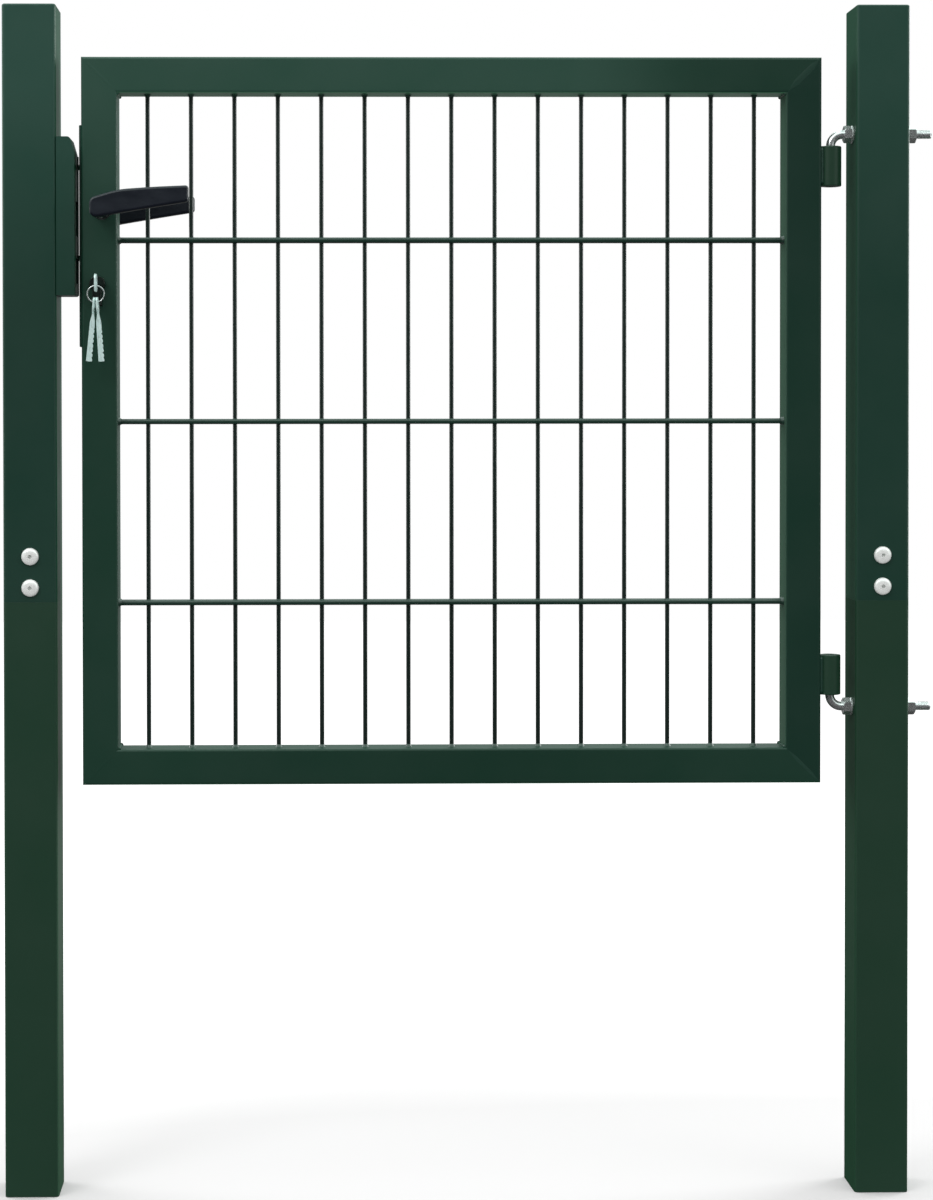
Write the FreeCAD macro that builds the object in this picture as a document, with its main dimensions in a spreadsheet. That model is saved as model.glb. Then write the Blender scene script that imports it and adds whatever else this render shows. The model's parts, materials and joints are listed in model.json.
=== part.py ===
# Steel garden gate: one leaf with a double-wire mesh, hung between two posts. Sizes are in millimetres.
# The origin is the middle of the hinge post's foot. X runs along the fence from the leaf to the hinge post,
# Y runs away from the side that the leaf opens to, and Z runs up.
import FreeCAD, Part
import math
import os
import Sketcher

SHEET = "Sizes"

SIZES = {
    # Posts
    "post_width": 60.0,
    "post_wall": 2.0,
    "post_corner": 4.0,
    "post_height": 1332.0,
    "sleeve_length": 160.0,
    "sleeve_wall": 2.0,
    "sleeve_play": 0.3,
    "cap_thickness": 2.5,
    "cap_plug_depth": 14.0,
    "cap_play": 0.3,
    # Bolts that hold the post halves on their sleeve
    "joint_rise": 120.75,
    "joint_bolt_rise": 16.0,
    "joint_bolt_spacing": 35.0,
    "joint_bolt_head": 19.5,
    "joint_bolt_rim": 2.6,
    "joint_bolt_dome": 5.0,
    "joint_bolt_crown": 13.0,
    "joint_bolt_shank": 10.0,
    "bolt_play": 0.25,
    # Leaf frame
    "leaf_drop": 57.5,
    "leaf_width": 829.0,
    "leaf_height": 814.5,
    "tube_width": 40.0,
    "tube_wall": 2.0,
    "tube_corner": 3.0,
    # Mesh of single upright wires between pairs of cross wires
    "wire_diameter": 5.0,
    "cross_wire_diameter": 6.0,
    "wire_edge": 32.9,
    "cross_edge": 163.45,
    # Hinges
    "axis_gap": 25.0,
    "stile_gap": 12.0,
    "axis_forward": 9.0,
    "barrel_diameter": 24.0,
    "barrel_length": 45.0,
    "barrel_inset": 121.25,
    "barrel_seat": 14.0,
    "pin_diameter": 10.0,
    "pin_play": 0.05,
    "pin_inset": 1.0,
    "leg_rise": 36.0,
    "bend_radius": 13.0,
    "leg_overhang": 28.6,
    "nut_width": 17.0,
    "nut_thickness": 8.4,
    "washer_diameter": 20.0,
    "washer_thickness": 2.0,
    "leg_play": 0.3,
    # Strike box on the strike post
    "strike_clearance": 3.8,
    "strike_width": 20.2,
    "strike_depth": 42.0,
    "strike_drop": 95.0,
    "strike_height": 176.5,
    "strike_wall": 2.0,
    "strike_slope_width": 5.0,
    "strike_slope_height": 17.0,
    "strike_round": 4.0,
    "stop_clearance": 5.0,
    "stop_overlap": 12.0,
    "stop_height": 6.0,
    "stop_low_rise": 41.5,
    "stop_high_rise": 144.5,
    # Lock
    "forend_thickness": 3.0,
    "forend_width": 24.0,
    "forend_height": 248.0,
    "forend_drop": 152.0,
    "case_depth": 34.0,
    "case_thickness": 15.0,
    "case_height": 190.0,
    "case_play": 0.5,
    "spindle_drop": 171.5,
    "spindle_backset": 23.0,
    "spindle_width": 8.0,
    "spindle_play": 0.1,
    "spindle_tip_gap": 3.0,
    "follower_bore": 12.6,
    "latch_height": 30.0,
    "latch_thickness": 11.0,
    "latch_drop": 8.0,
    "latch_slot_height": 39.0,
    "dead_bolt_height": 20.0,
    "dead_bolt_thickness": 9.0,
    "dead_bolt_drop": 67.0,
    "dead_bolt_slot_height": 28.0,
    "keep_width": 20.0,
    "latch_length": 15.0,
    "dead_bolt_length": 8.0,
    "cylinder_drop": 82.0,
    "cylinder_backset": 18.0,
    "cylinder_length": 60.0,
    "cylinder_diameter": 17.0,
    "cylinder_web": 10.0,
    "cylinder_height": 33.0,
    "cylinder_play": 0.3,
    # Lever handles
    "lever_reach": 68.0,
    "lever_thickness": 13.0,
    "lever_neck": 18.0,
    "lever_gap": 0.6,
    "lever_hole": 21.0,
    "lever_length": 99.3,
    "lever_tip_top": 23.4,
    "lever_tip_bottom": 5.2,
    "lever_knee": 21.1,
    "lever_knee_top": 18.9,
    "lever_heel": 9.4,
    "lever_heel_top": 9.6,
    "lever_heel_bottom": 11.4,
    "lever_throat": 23.3,
    "lever_throat_drop": 7.2,
    "lever_waist": 56.4,
    "lever_waist_drop": 1.6,
    "lever_heel_round": 9.0,
    "lever_shoulder_round": 5.0,
    "lever_knee_round": 14.0,
    "lever_tip_round": 3.5,
    "lever_edge": 1.6,
    # Keys on their ring
    "key_thickness": 2.2,
    "key_bow": 20.0,
    "key_bow_corner": 6.0,
    "key_eye": 8.0,
    "key_shoulder": 3.0,
    "key_stem": 8.0,
    "key_inset": 0.3,
    "ring_diameter": 20.0,
    "ring_wire": 1.4,
    "spare_bow_width": 16.0,
    "spare_bow_height": 18.5,
    "spare_bow_corner": 4.5,
    "spare_eye": 7.0,
    "spare_eye_edge": 4.5,
    "spare_neck": 2.6,
    "spare_blade_width": 5.4,
    "spare_tip_width": 6.6,
    "spare_blade_slope": 9.0,
    "spare_length": 71.5,
    "spare_gap": 1.6,
    "ring_play": 0.2,
}

# Places that several pieces share, as expressions on the sheet
POST_HALF = "(Sizes.post_width / 2)"
AXIS_X = "(-Sizes.post_width / 2 - Sizes.axis_gap)"
STILE_X = f"({AXIS_X} - Sizes.stile_gap)"
LOCK_EDGE_X = f"({STILE_X} - Sizes.leaf_width)"
LEAF_MIDDLE_X = f"({STILE_X} - Sizes.leaf_width / 2)"
FOREND_X = f"({LOCK_EDGE_X} - Sizes.forend_thickness)"
STRIKE_FACE_X = f"({FOREND_X} - Sizes.strike_clearance)"
STRIKE_POST_X = f"({STRIKE_FACE_X} - Sizes.strike_width - Sizes.post_width / 2)"
LEAF_TOP = "(Sizes.post_height - Sizes.leaf_drop)"
LEAF_BOTTOM = f"({LEAF_TOP} - Sizes.leaf_height)"
LEAF_MIDDLE_Z = f"({LEAF_TOP} - Sizes.leaf_height / 2)"
UPPER_BARREL_Z = f"({LEAF_TOP} - Sizes.barrel_inset)"
LOWER_BARREL_Z = f"({LEAF_BOTTOM} + Sizes.barrel_inset)"
UPPER_LEG_Z = f"({UPPER_BARREL_Z} + Sizes.leg_rise)"
LOWER_LEG_Z = f"({LOWER_BARREL_Z} - Sizes.leg_rise)"
JOINT_Z = f"({LOWER_LEG_Z} + Sizes.joint_rise)"
SPINDLE_X = f"({LOCK_EDGE_X} + Sizes.spindle_backset)"
SPINDLE_Z = f"({LEAF_TOP} - Sizes.spindle_drop)"
FOREND_BOTTOM = f"({SPINDLE_Z} - Sizes.forend_drop)"
CASE_BOTTOM = f"({FOREND_BOTTOM} + (Sizes.forend_height - Sizes.case_height) / 2)"
STRIKE_BOTTOM = f"({SPINDLE_Z} - Sizes.strike_drop)"
CYLINDER_X = f"({LOCK_EDGE_X} + Sizes.cylinder_backset)"
CYLINDER_Z = f"({SPINDLE_Z} - Sizes.cylinder_drop)"
LATCH_Z = f"({SPINDLE_Z} - Sizes.latch_drop)"
DEAD_BOLT_Z = f"({SPINDLE_Z} - Sizes.dead_bolt_drop)"
STOP_Y = "(Sizes.tube_width / 2 + Sizes.stop_clearance)"
EYE_Y = "(-Sizes.cylinder_length / 2 - Sizes.key_shoulder - Sizes.key_bow / 2)"
RING_Z = f"({CYLINDER_Z} - Sizes.key_eye / 2 - Sizes.ring_diameter / 2 + Sizes.ring_wire + Sizes.ring_play)"
RING_FOOT_Z = f"({RING_Z} - Sizes.ring_diameter / 2)"
MARGIN = "Sizes.post_width"

# Counts
WIRE_SPACES = 14
CROSS_SPACES = 2
WIRE_SIDES = 8
SMALL_SIDES = 16
NUT_SIDES = 6
RING_SIDES = 32

# The sketcher's numbers for its origin, its two axes, and the start, end and centre of a line or circle
SIDEWAYS_AXIS, UPWARD_AXIS = range(-1, -3, -1)
ORIGIN_POINT = SIDEWAYS_AXIS
START, END, CENTRE = range(1, 4)

# How close to parallel or flat counts as exact
TOLERANCE = 1e-6

BOLT_RISES = ("Sizes.joint_bolt_rise", "(Sizes.joint_bolt_rise + Sizes.joint_bolt_spacing)")
TURN_ABOUT_X = FreeCAD.Vector(1, 0, 0)
TURN_ABOUT_Y = FreeCAD.Vector(0, 1, 0)
TURN_ABOUT_Z = FreeCAD.Vector(0, 0, 1)

doc = FreeCAD.newDocument("garden_gate")
nodes = []


def fill_sheet():
    """Write every size to the sheet as a plain number with an alias."""
    sheet = doc.addObject("Spreadsheet::Sheet", SHEET)
    for row, (alias, value) in enumerate(SIZES.items(), start=1):
        sheet.set(f"A{row}", alias)
        sheet.set(f"B{row}", str(value))
        sheet.setAlias(f"B{row}", alias)
    doc.recompute()


def keep(piece, label):
    """Name a finished piece and list it for export."""
    piece.Label = label
    nodes.append(piece)
    return piece


def place(piece, x=None, y=None, z=None, axis=None, angle=0.0):
    """Turn a piece about an axis and tie its position to the sheet."""
    if axis is not None:
        piece.Placement = FreeCAD.Placement(FreeCAD.Vector(), FreeCAD.Rotation(axis, angle))
    for name, expression in (("x", x), ("y", y), ("z", z)):
        if expression is not None:
            piece.setExpression(f"Placement.Base.{name}", expression)
    return piece


def new_body(name):
    """A new, empty body."""
    return doc.addObject("PartDesign::Body", name)


def origin_plane(body, role):
    """One of the body's own origin planes."""
    return next(feature for feature in body.Origin.OriginFeatures if feature.Role == role)


def new_sketch(body, name, role, offset=None):
    """A sketch on one of the body's origin planes, moved along its normal by offset."""
    sketch = body.newObject("Sketcher::SketchObject", name)
    sketch.AttachmentSupport = (origin_plane(body, role), [""])
    sketch.MapMode = "FlatFace"
    if offset is not None:
        sketch.setExpression("AttachmentOffset.Base.z", offset)
    return sketch


def tie(sketch, constraint, name, expression):
    """Add a named constraint whose value follows the sheet."""
    index = sketch.addConstraint(constraint)
    sketch.renameConstraint(index, name)
    sketch.setExpression(f"Constraints.{name}", expression)


def draw_outline(sketch, points):
    """Draw a closed outline of straight lines whose corners are pairs of expressions."""
    first = sketch.GeometryCount
    count = len(points)
    turns = [math.tau * i / count for i in range(count)]
    start = [FreeCAD.Vector(math.cos(turn), math.sin(turn), 0) for turn in turns]
    for i in range(count):
        sketch.addGeometry(Part.LineSegment(start[i], start[(i + 1) % count]), False)
    for i in range(count):
        following = first + (i + 1) % count
        sketch.addConstraint(Sketcher.Constraint("Coincident", first + i, END, following, START))
    for i, (across, up) in enumerate(points):
        corner = first + i
        sideways = Sketcher.Constraint("DistanceX", ORIGIN_POINT, START, corner, START, 1.0)
        tie(sketch, sideways, f"across{corner}", across)
        upwards = Sketcher.Constraint("DistanceY", ORIGIN_POINT, START, corner, START, 1.0)
        tie(sketch, upwards, f"up{corner}", up)


def draw_box(sketch, width, height):
    """Draw a rectangle about the sketch's origin."""
    half_width = f"({width}) / 2"
    half_height = f"({height}) / 2"
    draw_outline(sketch, [
        (f"-({half_width})", f"-({half_height})"),
        (half_width, f"-({half_height})"),
        (half_width, half_height),
        (f"-({half_width})", half_height),
    ])


def draw_circle(sketch, diameter, across=None, up=None):
    """Draw a circle about the sketch's origin, or about a point given by expressions."""
    index = sketch.addGeometry(Part.Circle(FreeCAD.Vector(0, 0, 0), FreeCAD.Vector(0, 0, 1), 1.0), False)
    tie(sketch, Sketcher.Constraint("Diameter", index, 2.0), f"diameter{index}", diameter)
    if across is None and up is None:
        sketch.addConstraint(Sketcher.Constraint("Coincident", index, CENTRE, ORIGIN_POINT, START))
        return
    for kind, name, expression in (("DistanceX", "across", across), ("DistanceY", "up", up)):
        if expression is None:
            axis_line = UPWARD_AXIS if kind == "DistanceX" else SIDEWAYS_AXIS
            sketch.addConstraint(Sketcher.Constraint("PointOnObject", index, CENTRE, axis_line))
        else:
            constraint = Sketcher.Constraint(kind, ORIGIN_POINT, START, index, CENTRE, 1.0)
            tie(sketch, constraint, f"{name}{index}", expression)


def prism(name, diameter, length, sides):
    """A bar with flat sides whose diameter is measured across its flats."""
    bar = doc.addObject("Part::Prism", name)
    bar.Polygon = sides
    bar.setExpression("Circumradius", f"({diameter}) / 2 / cos({180 / sides})")
    bar.setExpression("Height", length)
    return bar


def fuse(name, pieces):
    """Several pieces joined into one solid."""
    whole = doc.addObject("Part::MultiFuse", name)
    whole.Shapes = pieces
    whole.Refine = True
    return whole


def cut(name, base, tool):
    """A piece less the room of another."""
    rest = doc.addObject("Part::Cut", name)
    rest.Base = base
    rest.Tool = tool
    return rest


def gather(name, pieces):
    """Several loose pieces of one kind as one node."""
    group = doc.addObject("Part::Compound", name)
    group.Links = pieces
    return group


def pad(body, sketch, name, length, symmetric=False, reverse=False):
    """Raise a sketch into a solid of the body, along its normal or about its plane."""
    feature = body.newObject("PartDesign::Pad", name)
    feature.Profile = sketch
    feature.SideType = "Symmetric" if symmetric else "One side"
    feature.Reversed = reverse
    feature.setExpression("Length", length)
    doc.recompute()
    return feature


def pocket(body, sketch, name, length=None, symmetric=False, reverse=False):
    """Cut a sketch out of the body, all the way through if no length is given."""
    before = body.Shape.Volume
    feature = body.newObject("PartDesign::Pocket", name)
    feature.Profile = sketch
    feature.SideType = "Symmetric" if symmetric else "One side"
    feature.Reversed = reverse
    if length is None:
        feature.Type = "ThroughAll"
    else:
        feature.setExpression("Length", length)
    doc.recompute()
    if not body.Shape.Volume < before:
        raise RuntimeError(f"{name} cut nothing")
    return feature


def edges_where(shape, test):
    """The names of the edges that pass a test."""
    return [f"Edge{i}" for i, edge in enumerate(shape.Edges, start=1) if test(edge)]


def runs_along(edge, axis):
    """Whether an edge is straight and parallel to an axis."""
    return edge.Curve.TypeId == "Part::GeomLine" and abs(abs(edge.Curve.Direction.dot(axis)) - 1) < TOLERANCE


def fillet(body, name, radius, test):
    """Round the edges of the body's last feature that pass a test."""
    base = body.Tip
    feature = body.newObject("PartDesign::Fillet", name)
    feature.Base = (base, edges_where(base.Shape, test))
    feature.setExpression("Radius", radius)
    doc.recompute()
    return feature


def chamfer(body, name, size, test):
    """Bevel the edges of the body's last feature that pass a test."""
    base = body.Tip
    feature = body.newObject("PartDesign::Chamfer", name)
    feature.Base = (base, edges_where(base.Shape, test))
    feature.setExpression("Size", size)
    doc.recompute()
    return feature


def square_tube(name, width, wall, corner, length, symmetric=False):
    """An upright square tube, open at both ends, with rounded corners unless corner is None."""
    body = new_body(name)
    outside = new_sketch(body, f"{name}_outside", "XY_Plane")
    draw_box(outside, width, width)
    pad(body, outside, f"{name}_pad", length, symmetric)
    if corner is not None:
        fillet(body, f"{name}_corners", corner, lambda edge: runs_along(edge, TURN_ABOUT_Z))
    inside = new_sketch(body, f"{name}_inside", "XY_Plane")
    draw_box(inside, f"{width} - 2 * {wall}", f"{width} - 2 * {wall}")
    pocket(body, inside, f"{name}_bore", symmetric=True)
    return body


def build_post(side, x):
    """A post of two halves on an inner sleeve, with a cap on top. Returns its two bolts, above the joint."""
    wall = "Sizes.post_wall"
    width = "Sizes.post_width"
    sleeve_width = f"({width} - 2 * {wall} - 2 * Sizes.sleeve_play)"
    halves = {
        "upper": (f"Sizes.post_height - Sizes.cap_thickness - {JOINT_Z}", JOINT_Z),
        "lower": (JOINT_Z, "0"),
    }
    built = {}
    for half, (length, base) in halves.items():
        tube = square_tube(f"{side}_post_{half}", width, wall, "Sizes.post_corner", length)
        place(tube, x=x, z=base)
        built[half] = keep(tube, f"{side}_post_{half}")
    sleeve = square_tube(f"{side}_post_sleeve", sleeve_width, "Sizes.sleeve_wall", None,
                         "Sizes.sleeve_length", symmetric=True)
    place(sleeve, x=x, z=JOINT_Z)
    keep(sleeve, f"{side}_post_sleeve")

    holes = new_sketch(built["upper"], f"{side}_bolt_holes", "XZ_Plane")
    for rise in BOLT_RISES:
        draw_circle(holes, "Sizes.joint_bolt_shank + 2 * Sizes.bolt_play", up=rise)
    pocket(built["upper"], holes, f"{side}_bolt_bores", reverse=True)

    cap = new_body(f"{side}_post_cap")
    top = new_sketch(cap, f"{side}_cap_top", "XY_Plane")
    draw_box(top, width, width)
    pad(cap, top, f"{side}_cap_plate", "Sizes.cap_thickness")
    fillet(cap, f"{side}_cap_corners", "Sizes.post_corner", lambda edge: runs_along(edge, TURN_ABOUT_Z))
    plug = new_sketch(cap, f"{side}_cap_plug", "XY_Plane")
    plug_width = f"{width} - 2 * {wall} - 2 * Sizes.cap_play"
    draw_box(plug, plug_width, plug_width)
    pad(cap, plug, f"{side}_cap_plug_pad", "Sizes.cap_plug_depth", reverse=True)
    place(cap, x=x, z="Sizes.post_height - Sizes.cap_thickness")
    keep(cap, f"{side}_post_cap")

    return [joint_bolt(f"{side}_bolt_{i}", x, f"{JOINT_Z} + {rise}") for i, rise in enumerate(BOLT_RISES)]


def joint_bolt(name, x, z):
    """A button-headed bolt whose shank ends on the sleeve, its head on the post's front."""
    front = f"-{POST_HALF}"
    parts = []
    for part, diameter, start, end in (
            ("shank", "Sizes.joint_bolt_shank", "(Sizes.post_wall + Sizes.sleeve_play)", "0"),
            ("rim", "Sizes.joint_bolt_head", "0", "-Sizes.joint_bolt_rim"),
            ("crown", "Sizes.joint_bolt_crown", "0", "-Sizes.joint_bolt_dome")):
        bar = prism(f"{name}_{part}", diameter, f"{start} - ({end})", SMALL_SIDES)
        place(bar, x=x, y=f"{front} + {start}", z=z, axis=TURN_ABOUT_X, angle=90.0)
        parts.append(bar)
    return fuse(name, parts)


def mitred_tube(name, length):
    """A frame tube about its own middle, with its inner side towards +X and both ends cut at 45 degrees."""
    tube = square_tube(name, "Sizes.tube_width", "Sizes.tube_wall", "Sizes.tube_corner", length,
                       symmetric=True)
    half_width = "Sizes.tube_width / 2"
    for end, sign in (("top", ""), ("bottom", "-")):
        cut = new_sketch(tube, f"{name}_{end}_mitre", "XZ_Plane")
        draw_outline(cut, [
            (f"-{half_width} - {MARGIN}", f"{sign}({length} / 2 + {MARGIN})"),
            (f"{half_width} + {MARGIN}", f"{sign}({length} / 2 + {MARGIN})"),
            (f"{half_width} + {MARGIN}", f"{sign}({length} / 2 - Sizes.tube_width - {MARGIN})"),
        ])
        pocket(tube, cut, f"{name}_{end}_cut", symmetric=True)
    return tube


def build_leaf_frame():
    """Two stiles and two rails, mitred and welded into a frame."""
    hinge_stile = mitred_tube("hinge_stile", "Sizes.leaf_height")
    place(hinge_stile, x=f"{STILE_X} - Sizes.tube_width / 2", z=LEAF_MIDDLE_Z, axis=TURN_ABOUT_Z, angle=180.0)
    keep(hinge_stile, "hinge_stile")

    top_rail = mitred_tube("top_rail", "Sizes.leaf_width")
    place(top_rail, x=LEAF_MIDDLE_X, z=f"{LEAF_TOP} - Sizes.tube_width / 2",
          axis=TURN_ABOUT_Y, angle=90.0)
    keep(top_rail, "top_rail")

    bottom_rail = mitred_tube("bottom_rail", "Sizes.leaf_width")
    place(bottom_rail, x=LEAF_MIDDLE_X, z=f"{LEAF_BOTTOM} + Sizes.tube_width / 2",
          axis=TURN_ABOUT_Y, angle=-90.0)
    keep(bottom_rail, "bottom_rail")

    lock_stile = mitred_tube("lock_stile", "Sizes.leaf_height")
    case_slot = new_sketch(lock_stile, "case_slot", "YZ_Plane", "-Sizes.tube_width")
    half_slot = "(Sizes.case_thickness / 2 + Sizes.case_play)"
    slot_bottom = f"({CASE_BOTTOM} - Sizes.case_play - {LEAF_MIDDLE_Z})"
    slot_top = f"({slot_bottom} + Sizes.case_height + 2 * Sizes.case_play)"
    draw_outline(case_slot, [
        (f"-{half_slot}", slot_bottom),
        (half_slot, slot_bottom),
        (half_slot, slot_top),
        (f"-{half_slot}", slot_top),
    ])
    pocket(lock_stile, case_slot, "case_slot_cut", "Sizes.tube_width / 2 + 2 * Sizes.tube_wall", reverse=True)
    spindle_hole = new_sketch(lock_stile, "spindle_hole", "XZ_Plane")
    draw_circle(spindle_hole, "Sizes.lever_hole", across="Sizes.spindle_backset - Sizes.tube_width / 2",
                up=f"{SPINDLE_Z} - {LEAF_MIDDLE_Z}")
    pocket(lock_stile, spindle_hole, "spindle_hole_cut", symmetric=True)
    cylinder_hole = new_sketch(lock_stile, "cylinder_hole", "XZ_Plane")
    draw_cylinder_web(cylinder_hole, "Sizes.cylinder_backset - Sizes.tube_width / 2",
                      f"{CYLINDER_Z} - {LEAF_MIDDLE_Z}", "Sizes.cylinder_play")
    pocket(lock_stile, cylinder_hole, "cylinder_web_cut", symmetric=True)
    plug_hole = new_sketch(lock_stile, "plug_hole", "XZ_Plane")
    draw_circle(plug_hole, "Sizes.cylinder_diameter + 2 * Sizes.cylinder_play",
                across="Sizes.cylinder_backset - Sizes.tube_width / 2", up=f"{CYLINDER_Z} - {LEAF_MIDDLE_Z}")
    pocket(lock_stile, plug_hole, "plug_hole_cut", symmetric=True)
    place(lock_stile, x=f"{LOCK_EDGE_X} + Sizes.tube_width / 2", z=LEAF_MIDDLE_Z)
    keep(lock_stile, "lock_stile")


def draw_cylinder_web(sketch, across, up, play):
    """Draw the straight lower part of the lock cylinder's profile, widened by play."""
    half_web = f"(Sizes.cylinder_web / 2 + {play})"
    drop = f"(Sizes.cylinder_height - Sizes.cylinder_diameter / 2 + {play})"
    draw_outline(sketch, [
        (f"{across} - {half_web}", f"{up} - {drop}"),
        (f"{across} + {half_web}", f"{up} - {drop}"),
        (f"{across} + {half_web}", up),
        (f"{across} - {half_web}", up),
    ])


def build_mesh():
    """Upright wires between pairs of cross wires, their flats face to face where they are welded."""
    wires = []
    upright_length = "(Sizes.leaf_height - 2 * Sizes.tube_width)"
    cross_length = "(Sizes.leaf_width - 2 * Sizes.tube_width)"
    wire_pitch = f"({cross_length} - 2 * Sizes.wire_edge) / {WIRE_SPACES}"
    cross_pitch = f"({upright_length} - 2 * Sizes.cross_edge) / {CROSS_SPACES}"
    turned = FreeCAD.Rotation(TURN_ABOUT_Z, 180.0 / WIRE_SIDES)
    for i in range(WIRE_SPACES + 1):
        wire = prism(f"upright_wire_{i}", "Sizes.wire_diameter", upright_length, WIRE_SIDES)
        wire.Placement = FreeCAD.Placement(FreeCAD.Vector(), turned)
        place(wire, x=f"{LOCK_EDGE_X} + Sizes.tube_width + Sizes.wire_edge + {i} * {wire_pitch}",
              z=f"{LEAF_BOTTOM} + Sizes.tube_width")
        wires.append(wire)
    cross_offset = "(Sizes.wire_diameter / 2 + Sizes.cross_wire_diameter / 2)"
    lying = FreeCAD.Rotation(TURN_ABOUT_Y, 90).multiply(turned)
    for i in range(CROSS_SPACES + 1):
        for side, sign in (("front", "-"), ("back", "")):
            wire = prism(f"cross_wire_{side}_{i}", "Sizes.cross_wire_diameter", cross_length, WIRE_SIDES)
            wire.Placement = FreeCAD.Placement(FreeCAD.Vector(), lying)
            place(wire, x=f"{LOCK_EDGE_X} + Sizes.tube_width", y=f"{sign}{cross_offset}",
                  z=f"{LEAF_BOTTOM} + Sizes.tube_width + Sizes.cross_edge + {i} * {cross_pitch}")
            wires.append(wire)
    keep(gather("mesh_panel", wires), "mesh_panel")


def build_hinge(level, z, leg_z, flipped):
    """A barrel on the stile and an L-shaped pin bolt through the post. Returns its nuts and washers."""
    barrel = new_body(f"{level}_hinge_barrel")
    outside = new_sketch(barrel, f"{level}_barrel_outside", "XY_Plane")
    draw_circle(outside, "Sizes.barrel_diameter")
    pad(barrel, outside, f"{level}_barrel_pad", "Sizes.barrel_length", symmetric=True)
    seat = new_sketch(barrel, f"{level}_barrel_seat", "XY_Plane")
    draw_outline(seat, [
        ("-Sizes.stile_gap", "-Sizes.barrel_seat / 2"),
        ("-Sizes.pin_diameter / 2", "-Sizes.barrel_seat / 2"),
        ("-Sizes.pin_diameter / 2", "Sizes.barrel_seat / 2"),
        ("-Sizes.stile_gap", "Sizes.barrel_seat / 2"),
    ])
    pad(barrel, seat, f"{level}_seat_pad", "Sizes.barrel_length", symmetric=True)
    bore = new_sketch(barrel, f"{level}_barrel_bore", "XY_Plane")
    draw_circle(bore, "Sizes.pin_diameter + 2 * Sizes.pin_play")
    pocket(barrel, bore, f"{level}_bore_cut", symmetric=True)
    place(barrel, x=AXIS_X, y="-Sizes.axis_forward", z=z)
    keep(barrel, f"{level}_hinge_barrel")

    pin_length = "(Sizes.leg_rise - Sizes.bend_radius + Sizes.barrel_length / 2 - Sizes.pin_inset)"
    pin = doc.addObject("Part::Cylinder", f"{level}_pin")
    pin.setExpression("Radius", "Sizes.pin_diameter / 2")
    pin.setExpression("Height", pin_length)
    if flipped:
        pin_base = f"{leg_z} + Sizes.bend_radius"
    else:
        pin_base = f"{leg_z} - Sizes.bend_radius - {pin_length}"
    place(pin, x=AXIS_X, y="-Sizes.axis_forward", z=pin_base)
    bend = doc.addObject("Part::Torus", f"{level}_bend")
    bend.setExpression("Radius1", "Sizes.bend_radius")
    bend.setExpression("Radius2", "Sizes.pin_diameter / 2")
    bend.Angle3 = 90
    up = FreeCAD.Vector(0, 0, 1)
    first, second = (TURN_ABOUT_X * -1, up * -1) if flipped else (up, TURN_ABOUT_X * -1)
    turned = FreeCAD.Rotation(first, second, TURN_ABOUT_Y * -1, "XYZ")
    bend.Placement = FreeCAD.Placement(FreeCAD.Vector(), turned)
    bend_z = f"{leg_z} {'+' if flipped else '-'} Sizes.bend_radius"
    place(bend, x=f"{AXIS_X} + Sizes.bend_radius", y="-Sizes.axis_forward", z=bend_z)
    leg = doc.addObject("Part::Cylinder", f"{level}_leg")
    leg.setExpression("Radius", "Sizes.pin_diameter / 2")
    leg.setExpression("Height", "Sizes.axis_gap + Sizes.post_width + Sizes.leg_overhang - Sizes.bend_radius")
    place(leg, x=f"{AXIS_X} + Sizes.bend_radius", y="-Sizes.axis_forward", z=leg_z,
          axis=TURN_ABOUT_Y, angle=90.0)
    keep(fuse(f"{level}_hinge_bolt", [pin, bend, leg]), f"{level}_hinge_bolt")

    nuts = []
    washers = []
    for name, washer_x, nut_x in (
            ("inner", f"-{POST_HALF} - Sizes.washer_thickness",
             f"-{POST_HALF} - Sizes.washer_thickness - Sizes.nut_thickness"),
            ("outer", POST_HALF, f"{POST_HALF} + Sizes.washer_thickness")):
        washers.append(leg_washer(f"{level}_{name}_washer", washer_x, leg_z))
        nuts.append(leg_nut(f"{level}_{name}_nut", nut_x, leg_z))
    return nuts, washers


def leg_nut(name, x, z):
    """A hexagon nut about the X axis with two corners up and down, bored with few sides for the leg."""
    pieces = []
    bore = f"(Sizes.pin_diameter + 2 * Sizes.leg_play) / cos({180 / SMALL_SIDES})"
    for part, diameter, sides in (("outside", "Sizes.nut_width", NUT_SIDES), ("bore", bore, SMALL_SIDES)):
        piece = prism(f"{name}_{part}", diameter, "Sizes.nut_thickness", sides)
        pieces.append(place(piece, x=x, y="-Sizes.axis_forward", z=z, axis=TURN_ABOUT_Y, angle=90.0))
    return cut(name, *pieces)


def leg_washer(name, x, z):
    """A washer about the X axis with few sides, bored for the pin bolt's leg."""
    discs = []
    hole = "(Sizes.pin_diameter + 2 * Sizes.leg_play)"
    for part, diameter in (("disc", "Sizes.washer_diameter"), ("hole", hole)):
        disc = prism(f"{name}_{part}", diameter, "Sizes.washer_thickness", SMALL_SIDES)
        discs.append(place(disc, x=x, y="-Sizes.axis_forward", z=z, axis=TURN_ABOUT_Y, angle=90.0))
    return cut(name, *discs)


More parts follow.
